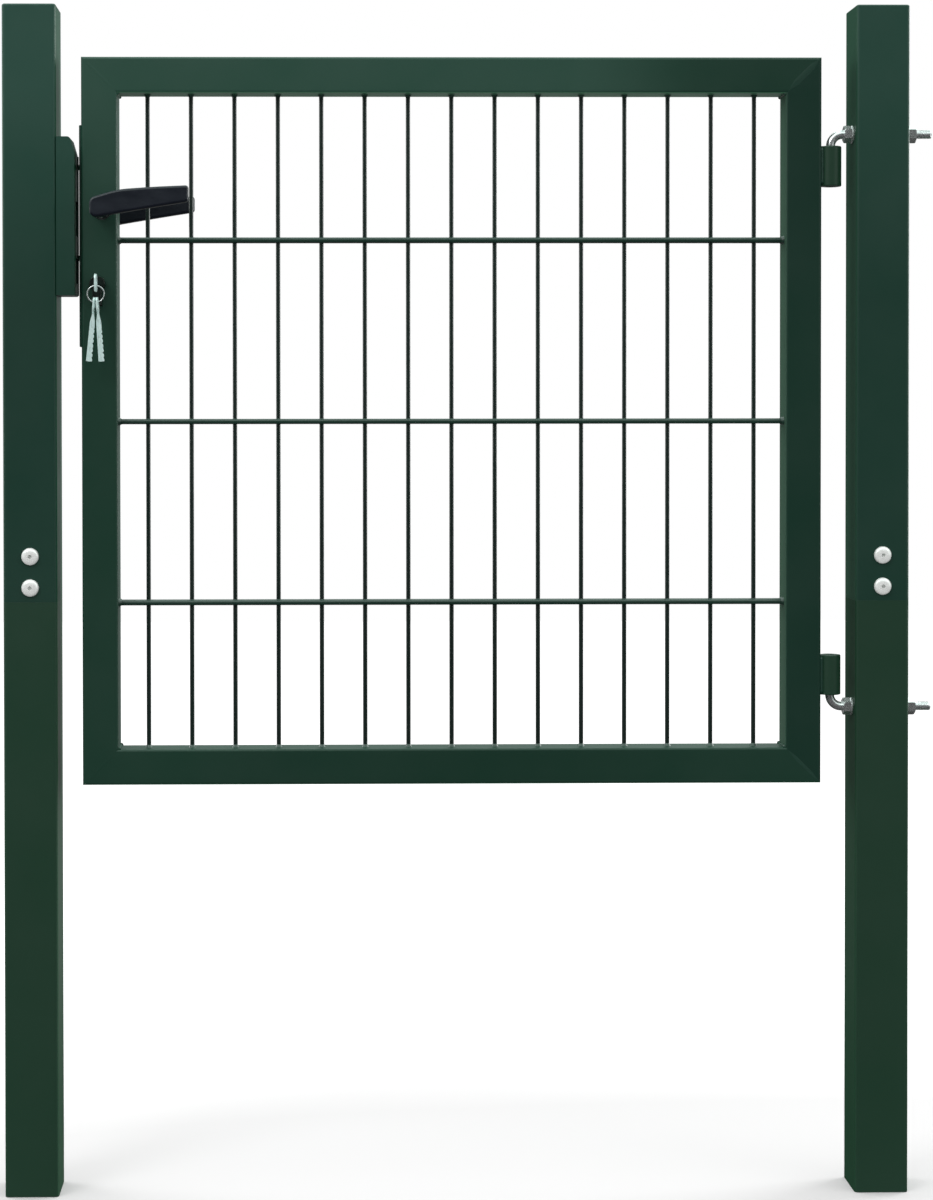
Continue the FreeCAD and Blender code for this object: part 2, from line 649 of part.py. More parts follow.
def build_hinges():
    """Both hinges, with all their nuts as one node and all their washers as another."""
    nuts = []
    washers = []
    for level, z, leg_z, flipped in (("upper", UPPER_BARREL_Z, UPPER_LEG_Z, False),
                                     ("lower", LOWER_BARREL_Z, LOWER_LEG_Z, True)):
        level_nuts, level_washers = build_hinge(level, z, leg_z, flipped)
        nuts += level_nuts
        washers += level_washers
    keep(gather("hinge_nuts", nuts), "hinge_nuts")
    keep(gather("hinge_washers", washers), "hinge_washers")
    for label, leg_z, base in (
            ("hinge_post_upper", UPPER_LEG_Z, JOINT_Z),
            ("hinge_post_lower", LOWER_LEG_Z, "0")):
        tube = next(piece for piece in nodes if piece.Label == label)
        hole = new_sketch(tube, f"{label}_leg_hole", "YZ_Plane")
        draw_circle(hole, "Sizes.pin_diameter + 2 * Sizes.leg_play", across="-Sizes.axis_forward",
                    up=f"{leg_z} - {base}")
        pocket(tube, hole, f"{label}_leg_bore", symmetric=True)


def build_strike():
    """A welded box on the strike post with slots for the bolts, and two lugs that stop the leaf's back."""
    body = new_body("strike_box")
    width = "Sizes.strike_width"
    top = "Sizes.strike_height"
    wall = "Sizes.strike_wall"
    depth = "Sizes.strike_depth"
    outline = new_sketch(body, "strike_outline", "XZ_Plane")
    draw_outline(outline, [
        ("0.0", "0.0"),
        (width, "0.0"),
        (width, f"{top} - Sizes.strike_slope_height"),
        (f"{width} - Sizes.strike_slope_width", top),
        ("0.0", top),
    ])
    pad(body, outline, "strike_pad", depth, reverse=True)
    half_width = SIZES["strike_width"] / 2
    half_height = SIZES["strike_height"] / 2

    def is_outer_top(edge):
        """Whether an edge is at one of the box's two upper corners away from the post."""
        spot = edge.CenterOfMass
        return runs_along(edge, TURN_ABOUT_Y) and spot.x > half_width and spot.z > half_height

    fillet(body, "strike_corners", "Sizes.strike_round", is_outer_top)
    hollow = new_sketch(body, "strike_hollow", "XZ_Plane", f"-{wall}")
    draw_outline(hollow, [
        (f"-{wall}", wall),
        (f"{width} - {wall}", wall),
        (f"{width} - {wall}", f"{top} - Sizes.strike_slope_height - {wall}"),
        (f"{width} - Sizes.strike_slope_width - {wall}", f"{top} - {wall}"),
        (f"-{wall}", f"{top} - {wall}"),
    ])
    pocket(body, hollow, "strike_hollow_cut", f"{depth} - 2 * {wall}")
    stop_front = f"({STOP_Y} + {POST_HALF})"
    stop_end = f"({width} + Sizes.strike_clearance + Sizes.forend_thickness + Sizes.stop_overlap)"
    for name, rise in (("low", "Sizes.stop_low_rise"), ("high", "Sizes.stop_high_rise")):
        stop = new_sketch(body, f"strike_{name}_stop", "XY_Plane", rise)
        draw_outline(stop, [
            (f"{width} - {wall}", f"{depth} - {wall}"),
            (width, f"{depth} - {wall}"),
            (width, stop_front),
            (stop_end, stop_front),
            (stop_end, f"{stop_front} + {wall}"),
            (f"{width} - {wall}", f"{stop_front} + {wall}"),
        ])
        pad(body, stop, f"strike_{name}_stop_pad", "Sizes.stop_height")
    for name, middle, height in (("latch", LATCH_Z, "Sizes.latch_slot_height"),
                                 ("dead_bolt", DEAD_BOLT_Z, "Sizes.dead_bolt_slot_height")):
        slot = new_sketch(body, f"{name}_keep", "YZ_Plane", f"{width} + {wall}")
        low = f"({middle} - {STRIKE_BOTTOM} - {height} / 2)"
        draw_outline(slot, [
            (f"{POST_HALF} - Sizes.keep_width / 2", low),
            (f"{POST_HALF} + Sizes.keep_width / 2", low),
            (f"{POST_HALF} + Sizes.keep_width / 2", f"{low} + {height}"),
            (f"{POST_HALF} - Sizes.keep_width / 2", f"{low} + {height}"),
        ])
        pocket(body, slot, f"{name}_keep_cut", f"3 * {wall}")
    place(body, x=f"{STRIKE_POST_X} + {POST_HALF}", y=f"-{POST_HALF}", z=STRIKE_BOTTOM)
    keep(body, "strike_box")


def block(name, length, width, height, x, y, z):
    """A plain box piece whose sizes and corner follow the sheet."""
    box = doc.addObject("Part::Box", name)
    box.setExpression("Length", length)
    box.setExpression("Width", width)
    box.setExpression("Height", height)
    place(box, x=x, y=y, z=z)
    return box


def build_lock():
    """The forend plate, the case with its two bolts drawn in, and the cylinder."""
    forend = new_body("lock_forend")
    face = new_sketch(forend, "forend_face", "YZ_Plane")
    draw_box(face, "Sizes.forend_width", "Sizes.forend_height")
    pad(forend, face, "forend_pad", "Sizes.forend_thickness")
    for name, middle, height, thickness in (
            ("latch", LATCH_Z, "Sizes.latch_height", "Sizes.latch_thickness"),
            ("dead_bolt", DEAD_BOLT_Z, "Sizes.dead_bolt_height", "Sizes.dead_bolt_thickness")):
        hole = new_sketch(forend, f"forend_{name}_hole", "YZ_Plane")
        low = f"({middle} - {height} / 2 - {FOREND_BOTTOM} - Sizes.forend_height / 2 - Sizes.bolt_play)"
        half = f"({thickness} / 2 + Sizes.bolt_play)"
        draw_outline(hole, [
            (f"-{half}", low),
            (half, low),
            (half, f"{low} + {height} + 2 * Sizes.bolt_play"),
            (f"-{half}", f"{low} + {height} + 2 * Sizes.bolt_play"),
        ])
        pocket(forend, hole, f"forend_{name}_cut", symmetric=True)
    place(forend, x=FOREND_X, z=f"{FOREND_BOTTOM} + Sizes.forend_height / 2")
    keep(forend, "lock_forend")

    case = new_body("lock_case")
    side = new_sketch(case, "case_side", "XZ_Plane")
    draw_outline(side, [
        ("0.0", "0.0"),
        ("Sizes.case_depth", "0.0"),
        ("Sizes.case_depth", "Sizes.case_height"),
        ("0.0", "Sizes.case_height"),
    ])
    pad(case, side, "case_pad", "Sizes.case_thickness", symmetric=True)
    follower = new_sketch(case, "case_follower", "XZ_Plane")
    draw_circle(follower, "Sizes.follower_bore", across="Sizes.spindle_backset",
                up=f"{SPINDLE_Z} - {CASE_BOTTOM}")
    pocket(case, follower, "case_follower_cut", symmetric=True)
    web = new_sketch(case, "case_cylinder_web", "XZ_Plane")
    draw_cylinder_web(web, "Sizes.cylinder_backset", f"{CYLINDER_Z} - {CASE_BOTTOM}", "Sizes.cylinder_play")
    pocket(case, web, "case_web_cut", symmetric=True)
    plug = new_sketch(case, "case_cylinder_plug", "XZ_Plane")
    draw_circle(plug, "Sizes.cylinder_diameter + 2 * Sizes.cylinder_play", across="Sizes.cylinder_backset",
                up=f"{CYLINDER_Z} - {CASE_BOTTOM}")
    pocket(case, plug, "case_plug_cut", symmetric=True)
    for name, middle, height, thickness, length in (
            ("latch", LATCH_Z, "Sizes.latch_height", "Sizes.latch_thickness", "Sizes.latch_length"),
            ("dead_bolt", DEAD_BOLT_Z, "Sizes.dead_bolt_height", "Sizes.dead_bolt_thickness",
             "Sizes.dead_bolt_length")):
        hole = new_sketch(case, f"case_{name}_hole", "YZ_Plane")
        low = f"({middle} - {height} / 2 - {CASE_BOTTOM} - Sizes.bolt_play)"
        half = f"({thickness} / 2 + Sizes.bolt_play)"
        draw_outline(hole, [
            (f"-{half}", low),
            (half, low),
            (half, f"{low} + {height} + 2 * Sizes.bolt_play"),
            (f"-{half}", f"{low} + {height} + 2 * Sizes.bolt_play"),
        ])
        pocket(case, hole, f"case_{name}_cut", length, reverse=True)
    place(case, x=LOCK_EDGE_X, z=CASE_BOTTOM)
    keep(case, "lock_case")

    for name, middle, height, thickness, length in (
            ("latch_bolt", LATCH_Z, "Sizes.latch_height", "Sizes.latch_thickness", "Sizes.latch_length"),
            ("dead_bolt", DEAD_BOLT_Z, "Sizes.dead_bolt_height", "Sizes.dead_bolt_thickness",
             "Sizes.dead_bolt_length")):
        bolt = block(name, f"{length} + Sizes.forend_thickness - Sizes.bolt_play", thickness, height,
                     x=FOREND_X, y=f"-{thickness} / 2", z=f"{middle} - {height} / 2")
        keep(bolt, name)

    cylinder = new_body("lock_cylinder")
    plug = new_sketch(cylinder, "cylinder_plug", "XZ_Plane")
    draw_circle(plug, "Sizes.cylinder_diameter")
    pad(cylinder, plug, "cylinder_plug_pad", "Sizes.cylinder_length", symmetric=True)
    web = new_sketch(cylinder, "cylinder_web", "XZ_Plane")
    drop = "(Sizes.cylinder_height - Sizes.cylinder_diameter / 2)"
    draw_outline(web, [
        ("-Sizes.cylinder_web / 2", f"-{drop}"),
        ("Sizes.cylinder_web / 2", f"-{drop}"),
        ("Sizes.cylinder_web / 2", "-Sizes.cylinder_web / 4"),
        ("-Sizes.cylinder_web / 2", "-Sizes.cylinder_web / 4"),
    ])
    pad(cylinder, web, "cylinder_web_pad", "Sizes.cylinder_length", symmetric=True)
    place(cylinder, x=CYLINDER_X, z=CYLINDER_Z)
    keep(cylinder, "lock_cylinder")


def build_lever(name):
    """The blade of a lever about its spindle, with rounded corners."""
    body = new_body(f"{name}_body")
    outline = new_sketch(body, f"{name}_outline", "XZ_Plane", "Sizes.lever_reach")
    draw_outline(outline, [
        ("-Sizes.lever_heel", "-Sizes.lever_heel_bottom"),
        ("0.0", "-Sizes.lever_heel_bottom"),
        ("Sizes.lever_throat", "-Sizes.lever_throat_drop"),
        ("Sizes.lever_waist", "-Sizes.lever_waist_drop"),
        ("Sizes.lever_length", "Sizes.lever_tip_bottom"),
        ("Sizes.lever_length", "Sizes.lever_tip_top"),
        ("Sizes.lever_knee", "Sizes.lever_knee_top"),
        ("-Sizes.lever_heel", "Sizes.lever_heel_top"),
    ])
    pad(body, outline, f"{name}_blade", "Sizes.lever_thickness", symmetric=True)
    near = SIZES["lever_edge"]
    tip = SIZES["lever_length"] - near
    knee = SIZES["lever_knee"]
    for corner, radius, test in (
            ("heel", "Sizes.lever_heel_round", lambda spot: spot.x < -near and spot.z < 0),
            ("shoulder", "Sizes.lever_shoulder_round", lambda spot: spot.x < -near and spot.z > 0),
            ("knee", "Sizes.lever_knee_round", lambda spot: abs(spot.x - knee) < near and spot.z > 0),
            ("tip", "Sizes.lever_tip_round", lambda spot: spot.x > tip)):
        fillet(body, f"{name}_{corner}", radius,
               lambda edge, test=test: runs_along(edge, TURN_ABOUT_Y) and test(edge.CenterOfMass))
    chamfer(body, f"{name}_bevel", "Sizes.lever_edge", lambda edge: edge.BoundBox.YLength < TOLERANCE)
    return body


def build_handle():
    """Two levers, one each side, on a square spindle through the lock case."""
    for name, mirrored in (("front_lever", False), ("rear_lever", True)):
        body = build_lever(name)
        neck = new_sketch(body, f"{name}_neck", "XZ_Plane", "Sizes.tube_width / 2 + Sizes.lever_gap")
        draw_circle(neck, "Sizes.lever_neck")
        pad(body, neck, f"{name}_neck_pad", "Sizes.lever_reach - Sizes.tube_width / 2 - Sizes.lever_gap")
        hole = new_sketch(body, f"{name}_spindle_hole", "XZ_Plane")
        hole_width = "Sizes.spindle_width + 2 * Sizes.spindle_play"
        hole_depth = "Sizes.lever_reach - Sizes.spindle_tip_gap + Sizes.spindle_play"
        draw_box(hole, hole_width, hole_width)
        pocket(body, hole, f"{name}_spindle_cut", hole_depth, reverse=True)
        if mirrored:
            piece = doc.addObject("Part::Mirroring", f"{name}_mirror")
            piece.Source = body
            piece.Normal = TURN_ABOUT_Y
        else:
            piece = body
        place(piece, x=SPINDLE_X, z=SPINDLE_Z)
        keep(piece, name)
    half = "(Sizes.lever_reach - Sizes.spindle_tip_gap)"
    spindle = block("spindle", "Sizes.spindle_width", f"2 * {half}", "Sizes.spindle_width",
                    x=f"{SPINDLE_X} - Sizes.spindle_width / 2", y=f"-{half}",
                    z=f"{SPINDLE_Z} - Sizes.spindle_width / 2")
    keep(spindle, "handle_spindle")


def build_keys():
    """A key in the cylinder, and a wire ring through its bow that carries two spare keys."""
    key = new_body("key")
    bow = new_sketch(key, "key_bow", "YZ_Plane")
    half = "Sizes.key_bow / 2"
    inner = "(Sizes.key_bow / 2 - Sizes.key_bow_corner)"
    draw_outline(bow, [
        (half, f"-{inner}"),
        (half, inner),
        (inner, half),
        (f"-{inner}", half),
        (f"-{half}", inner),
        (f"-{half}", f"-{inner}"),
        (f"-{inner}", f"-{half}"),
        (inner, f"-{half}"),
    ])
    pad(key, bow, "key_bow_pad", "Sizes.key_thickness", symmetric=True)
    stem = new_sketch(key, "key_stem", "YZ_Plane")
    draw_outline(stem, [
        ("0.0", "-Sizes.key_stem / 2"),
        ("Sizes.key_bow / 2 + Sizes.key_shoulder - Sizes.key_inset", "-Sizes.key_stem / 2"),
        ("Sizes.key_bow / 2 + Sizes.key_shoulder - Sizes.key_inset", "Sizes.key_stem / 2"),
        ("0.0", "Sizes.key_stem / 2"),
    ])
    pad(key, stem, "key_stem_pad", "Sizes.key_thickness", symmetric=True)
    eye = new_sketch(key, "key_eye", "YZ_Plane")
    draw_circle(eye, "Sizes.key_eye")
    pocket(key, eye, "key_eye_cut", symmetric=True)
    place(key, x=CYLINDER_X, y=EYE_Y, z=CYLINDER_Z)
    keep(key, "key")

    hoops = []
    inside = "(Sizes.ring_diameter - 2 * Sizes.ring_wire)"
    for part, diameter in (("outside", "Sizes.ring_diameter"), ("inside", inside)):
        hoop = prism(f"ring_{part}", diameter, "Sizes.ring_wire", RING_SIDES)
        hoops.append(place(hoop, x=CYLINDER_X, y=f"{EYE_Y} + Sizes.ring_wire / 2", z=RING_Z,
                           axis=TURN_ABOUT_X, angle=90.0))
    keep(cut("key_ring", *hoops), "key_ring")

    for name, side, lean in (("left_spare_key", "-", 5.2), ("right_spare_key", "+", -4.0)):
        place(build_spare_key(name), x=f"{CYLINDER_X} {side} Sizes.spare_gap", y=EYE_Y,
              z=f"{RING_FOOT_Z} + Sizes.ring_wire + 3 * Sizes.ring_play", axis=TURN_ABOUT_Y, angle=lean)


def build_spare_key(name):
    """A key that hangs from its eye, with its bow edge on and its blade face on to the front."""
    spare = new_body(name)
    bow = new_sketch(spare, f"{name}_bow", "YZ_Plane")
    top = "Sizes.spare_eye_edge"
    low = f"({top} - Sizes.spare_bow_height)"
    half = "Sizes.spare_bow_width / 2"
    inner = "(Sizes.spare_bow_width / 2 - Sizes.spare_bow_corner)"
    draw_outline(bow, [
        (inner, top),
        (f"-{inner}", top),
        (f"-{half}", f"{top} - Sizes.spare_bow_corner"),
        (f"-{half}", f"{low} + Sizes.spare_bow_corner"),
        ("-Sizes.spare_neck / 2", low),
        ("Sizes.spare_neck / 2", low),
        (half, f"{low} + Sizes.spare_bow_corner"),
        (half, f"{top} - Sizes.spare_bow_corner"),
    ])
    pad(spare, bow, f"{name}_bow_pad", "Sizes.key_thickness", symmetric=True)
    blade = new_sketch(spare, f"{name}_blade", "XZ_Plane")
    foot = f"({top} - Sizes.spare_length)"
    draw_outline(blade, [
        ("Sizes.spare_neck / 2", f"{low} + Sizes.spare_neck / 2"),
        ("-Sizes.spare_neck / 2", f"{low} + Sizes.spare_neck / 2"),
        ("-Sizes.spare_neck / 2", f"{low} - Sizes.spare_neck / 2"),
        ("-Sizes.spare_blade_width / 2", f"{low} - Sizes.spare_blade_slope"),
        ("-Sizes.spare_tip_width / 2", foot),
        ("Sizes.spare_tip_width / 2", foot),
        ("Sizes.spare_blade_width / 2", f"{low} - Sizes.spare_blade_slope"),
        ("Sizes.spare_neck / 2", f"{low} - Sizes.spare_neck / 2"),
    ])
    pad(spare, blade, f"{name}_blade_pad", "Sizes.key_thickness", symmetric=True)
    eye = new_sketch(spare, f"{name}_eye", "YZ_Plane")
    draw_circle(eye, "Sizes.spare_eye", up="-Sizes.spare_eye / 2")
    pocket(spare, eye, f"{name}_eye_cut", symmetric=True)
    return keep(spare, name)


def build_gate():
    """Build every piece of the gate."""
    fill_sheet()
    bolts = build_post("strike", STRIKE_POST_X) + build_post("hinge", "0")
    keep(gather("post_joint_bolts", bolts), "post_joint_bolts")
    build_leaf_frame()
    build_mesh()
    build_hinges()
    build_strike()
    build_lock()
    build_handle()
    build_keys()
    doc.recompute()


def check_gate():
    """Stop if any object of the document failed or any piece has no sound shape."""
    for thing in doc.Objects:
        if "Invalid" in thing.State or "Error" in thing.State:
            raise RuntimeError(f"{thing.Name} failed: {thing.State}")
    for piece in nodes:
        shape = piece.Shape
        if shape.isNull() or not shape.isValid() or shape.Volume <= 0:
            raise RuntimeError(f"{piece.Label} has no sound shape")


def export_gate():
    """Write one STEP file for each piece and print its size and place."""
    os.makedirs("parts", exist_ok=True)
    for piece in nodes:
        piece.Shape.exportStep(f"parts/{piece.Label}.step")
        box = piece.Shape.BoundBox
        print(f"{piece.Label}: {len(piece.Shape.Solids)} solid, {piece.Shape.Volume / 1000:.1f} cm3, "
              f"x {box.XMin:.1f} to {box.XMax:.1f}, y {box.YMin:.1f} to {box.YMax:.1f}, "
              f"z {box.ZMin:.1f} to {box.ZMax:.1f}")


build_gate()
check_gate()
export_gate()
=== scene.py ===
"""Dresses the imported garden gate: finishes, round wire mesh, hardware, welds, lock, keys, studio and camera."""
import json
import logging
import math
from dataclasses import dataclass
from enum import Enum
from typing import Callable, Iterable, Sequence

import bmesh
import bpy
from mathutils import Matrix, Vector

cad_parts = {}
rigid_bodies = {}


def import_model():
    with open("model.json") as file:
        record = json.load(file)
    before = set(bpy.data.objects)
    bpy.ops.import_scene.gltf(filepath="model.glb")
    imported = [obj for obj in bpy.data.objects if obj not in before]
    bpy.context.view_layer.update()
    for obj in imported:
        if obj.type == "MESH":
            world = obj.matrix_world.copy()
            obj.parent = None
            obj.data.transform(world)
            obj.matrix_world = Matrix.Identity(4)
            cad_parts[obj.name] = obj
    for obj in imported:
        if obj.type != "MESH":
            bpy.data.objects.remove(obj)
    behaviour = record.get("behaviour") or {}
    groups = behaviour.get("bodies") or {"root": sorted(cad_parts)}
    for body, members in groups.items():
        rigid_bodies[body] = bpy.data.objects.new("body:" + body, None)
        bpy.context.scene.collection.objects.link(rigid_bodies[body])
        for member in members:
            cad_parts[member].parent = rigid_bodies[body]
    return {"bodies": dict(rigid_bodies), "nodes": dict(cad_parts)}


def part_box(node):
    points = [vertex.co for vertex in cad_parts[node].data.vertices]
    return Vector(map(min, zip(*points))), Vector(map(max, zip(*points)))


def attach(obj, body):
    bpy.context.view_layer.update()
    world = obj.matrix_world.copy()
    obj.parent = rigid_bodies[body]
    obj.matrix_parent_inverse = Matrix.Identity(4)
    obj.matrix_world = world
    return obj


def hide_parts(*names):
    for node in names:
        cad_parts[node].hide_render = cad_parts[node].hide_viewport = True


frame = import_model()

log = logging.getLogger("garden_gate")

MM = 0.001
MERGE = 1e-6
NODE_MERGE = 5e-6
ON_LEVEL = 5e-5
SHARP_EDGE = math.radians(30)
FLAT_FACE = math.radians(0.5)

Outline = Sequence[tuple[float, float]]
Corners = Sequence[tuple[float, float, float]]
Colour = tuple[float, float, float]
Range = tuple[float, float]
Shape = bmesh.types.BMesh
Edge = bmesh.types.BMEdge
Vert = bmesh.types.BMVert
EdgeTest = Callable[[Edge], bool]
Socket = bpy.types.NodeSocket

WHITE: Colour = (1.0, 1.0, 1.0)


class Body(str, Enum):
    """The moving bodies of the gate."""

    POSTS = "posts"
    LEAF = "leaf"
    HANDLE = "handle"


class Along(Enum):
    """The axis that a piece built along +Z is laid along."""

    X = (1, 0, 0)
    Y = (0, 1, 0)
    Z = (0, 0, 1)
    MINUS_X = (-1, 0, 0)
    MINUS_Y = (0, -1, 0)
    MINUS_Z = (0, 0, -1)


def seat(place: Sequence[float], along: Along = Along.Z, twist: float = 0.0) -> Matrix:
    """Turn +Z to an axis, after a twist about it in radians, and set the origin at a place in metres."""
    turn = Vector((0, 0, 1)).rotation_difference(Vector(along.value)).to_matrix().to_4x4()
    return Matrix.Translation(place) @ turn @ Matrix.Rotation(twist, 4, "Z")


def upright_plane(place: Sequence[float], side: int = -1) -> Matrix:
    """Lay a flat piece's x and y on the gate's X and Z, with its normal along Y, side telling which way."""
    return Matrix(((1, 0, 0, place[0]), (0, 0, side, place[1]), (0, 1, 0, place[2]), (0, 0, 0, 1)))


def edge_on_plane(place: Sequence[float]) -> Matrix:
    """Lay a flat piece's x and y on the gate's Y and Z, with its normal along X."""
    return Matrix(((0, 0, 1, place[0]), (1, 0, 0, place[1]), (0, 1, 0, place[2]), (0, 0, 0, 1)))


# ---------------------------------------------------------------- finishes


class Nodes:
    """A short way to build the nodes of one material or of the world."""

    def __init__(self, owner: bpy.types.ID) -> None:
        """Open the node tree of a material or a world.

        Args:
            owner: the material or the world.
        """
        owner.use_nodes = True
        self.owner = owner
        self.tree = owner.node_tree
        self.shader = self.tree.nodes.get("Principled BSDF")

    def add(self, kind: str, **settings: object) -> bpy.types.Node:
        """Add a node.

        Args:
            kind: the node's type name.
            settings: its plain properties by name.

        Returns:
            The new node.
        """
        node = self.tree.nodes.new(kind)
        for key, value in settings.items():
            setattr(node, key, value)
        return node

    def link(self, source: Socket, target: Socket) -> None:
        """Join two sockets."""
        self.tree.links.new(source, target)

    def place(self, stretch: Sequence[float] = (1, 1, 1)) -> Socket:
        """Object coordinates in metres.

        Args:
            stretch: factors on the object's axes.

        Returns:
            The vector socket.
        """
        mapping = self.add("ShaderNodeMapping")
        mapping.inputs["Scale"].default_value = stretch
        self.link(self.add("ShaderNodeTexCoord").outputs["Object"], mapping.inputs["Vector"])
        return mapping.outputs["Vector"]

    def parts(self, vector: Socket) -> bpy.types.NodeOutputs:
        """Take a vector apart.

        Args:
            vector: the vector socket.

        Returns:
            The outputs X, Y and Z.
        """
        node = self.add("ShaderNodeSeparateXYZ")
        self.link(vector, node.inputs["Vector"])
        return node.outputs

    def noise(self, scale: float, detail: float = 3.0, roughness: float = 0.5,
              stretch: Sequence[float] = (1, 1, 1)) -> Socket:
        """A noise pattern.

        Args:
            scale: repeats per metre.
            detail: octaves.
            roughness: how strong the fine octaves are.
            stretch: factors on the object's axes.

        Returns:
            The pattern's value socket, about 0.5 on average.
        """
        texture = self.add("ShaderNodeTexNoise")
        for key, value in (("Scale", scale), ("Detail", detail), ("Roughness", roughness)):
            texture.inputs[key].default_value = value
        self.link(self.place(stretch), texture.inputs["Vector"])
        return texture.outputs["Fac"]

    def ramp(self, source: Socket, low: float, high: float, first: Colour, second: Colour) -> Socket:
        """Blend two colours by a value.

        Args:
            source: the value.
            low: the value that gives the first colour.
            high: the value that gives the second colour.
            first: colour at and below low.
            second: colour at and above high.

        Returns:
            The colour socket.
        """
        ramp = self.add("ShaderNodeValToRGB")
        for element, position, colour in zip(ramp.color_ramp.elements, (low, high), (first, second)):
            element.position = position
            element.color = (*colour, 1)
        self.link(source, ramp.inputs["Fac"])
        return ramp.outputs["Color"]

    def span(self, source: Socket, low: float, high: float, to_low: float, to_high: float) -> Socket:
        """Map a value from one range to another and clamp it.

        Args:
            source: the value.
            low: the value that gives to_low.
            high: the value that gives to_high.
            to_low: the result at and below low.
            to_high: the result at and above high.

        Returns:
            The result's socket.
        """
        node = self.add("ShaderNodeMapRange")
        for key, value in (("From Min", low), ("From Max", high), ("To Min", to_low), ("To Max", to_high)):
            node.inputs[key].default_value = value
        self.link(source, node.inputs["Value"])
        return node.outputs["Result"]

    def math(self, operation: str, *terms: Socket) -> Socket:
        """Work out a value from others.

        Args:
            operation: the operation's name.
            terms: its values.

        Returns:
            The result's socket.
        """
        node = self.add("ShaderNodeMath", operation=operation)
        for term, target in zip(terms, node.inputs):
            self.link(term, target)
        return node.outputs["Value"]

    def mix(self, share: Socket, first: Socket, second: Colour) -> Socket:
        """Mix a plain colour into another.

        Args:
            share: how much of the plain colour there is.
            first: the other colour's socket.
            second: the plain colour.

        Returns:
            The colour socket.
        """
        node = self.add("ShaderNodeMix", data_type="RGBA")
        self.link(share, node.inputs[0])
        self.link(first, node.inputs[6])
        node.inputs[7].default_value = (*second, 1)
        return node.outputs[2]

    def light(self, kind: str, strength: float | Socket, colour: Colour = WHITE) -> Socket:
        """A shader that gives light.

        Args:
            kind: the node's type name.
            strength: a number, or a socket that gives it.
            colour: the light's colour.

        Returns:
            The shader socket.
        """
        node = self.add(kind)
        node.inputs["Color"].default_value = (*colour, 1)
        if isinstance(strength, Socket):
            self.link(strength, node.inputs["Strength"])
        else:
            node.inputs["Strength"].default_value = strength
        return node.outputs[0]

    def blend(self, share: Socket, first: Socket, second: Socket) -> Socket:
        """Blend two shaders.

        Args:
            share: how much of the second there is.
            first: the first shader's socket.
            second: the second shader's socket.

        Returns:
            The shader socket.
        """
        node = self.add("ShaderNodeMixShader")
        for source, target in zip((share, first, second), node.inputs):
            self.link(source, target)
        return node.outputs["Shader"]

    def bump(self, layers: Sequence[tuple[Socket, float, float]]) -> None:
        """Roughen the surface with height patterns.

        Args:
            layers: for each pattern its value, its strength and its depth in metres.
        """
        normal = None
        for source, strength, depth in layers:
            node = self.add("ShaderNodeBump")
            node.inputs["Strength"].default_value = strength
            node.inputs["Distance"].default_value = depth
            self.link(source, node.inputs["Height"])
            if normal is not None:
                self.link(normal, node.inputs["Normal"])
            normal = node.outputs["Normal"]
        self.link(normal, self.shader.inputs["Normal"])

    def set(self, **values: object) -> None:
        """Set the shader's own sockets, named with underscores for spaces."""
        for key, value in values.items():
            self.shader.inputs[key.replace("_", " ")].default_value = value


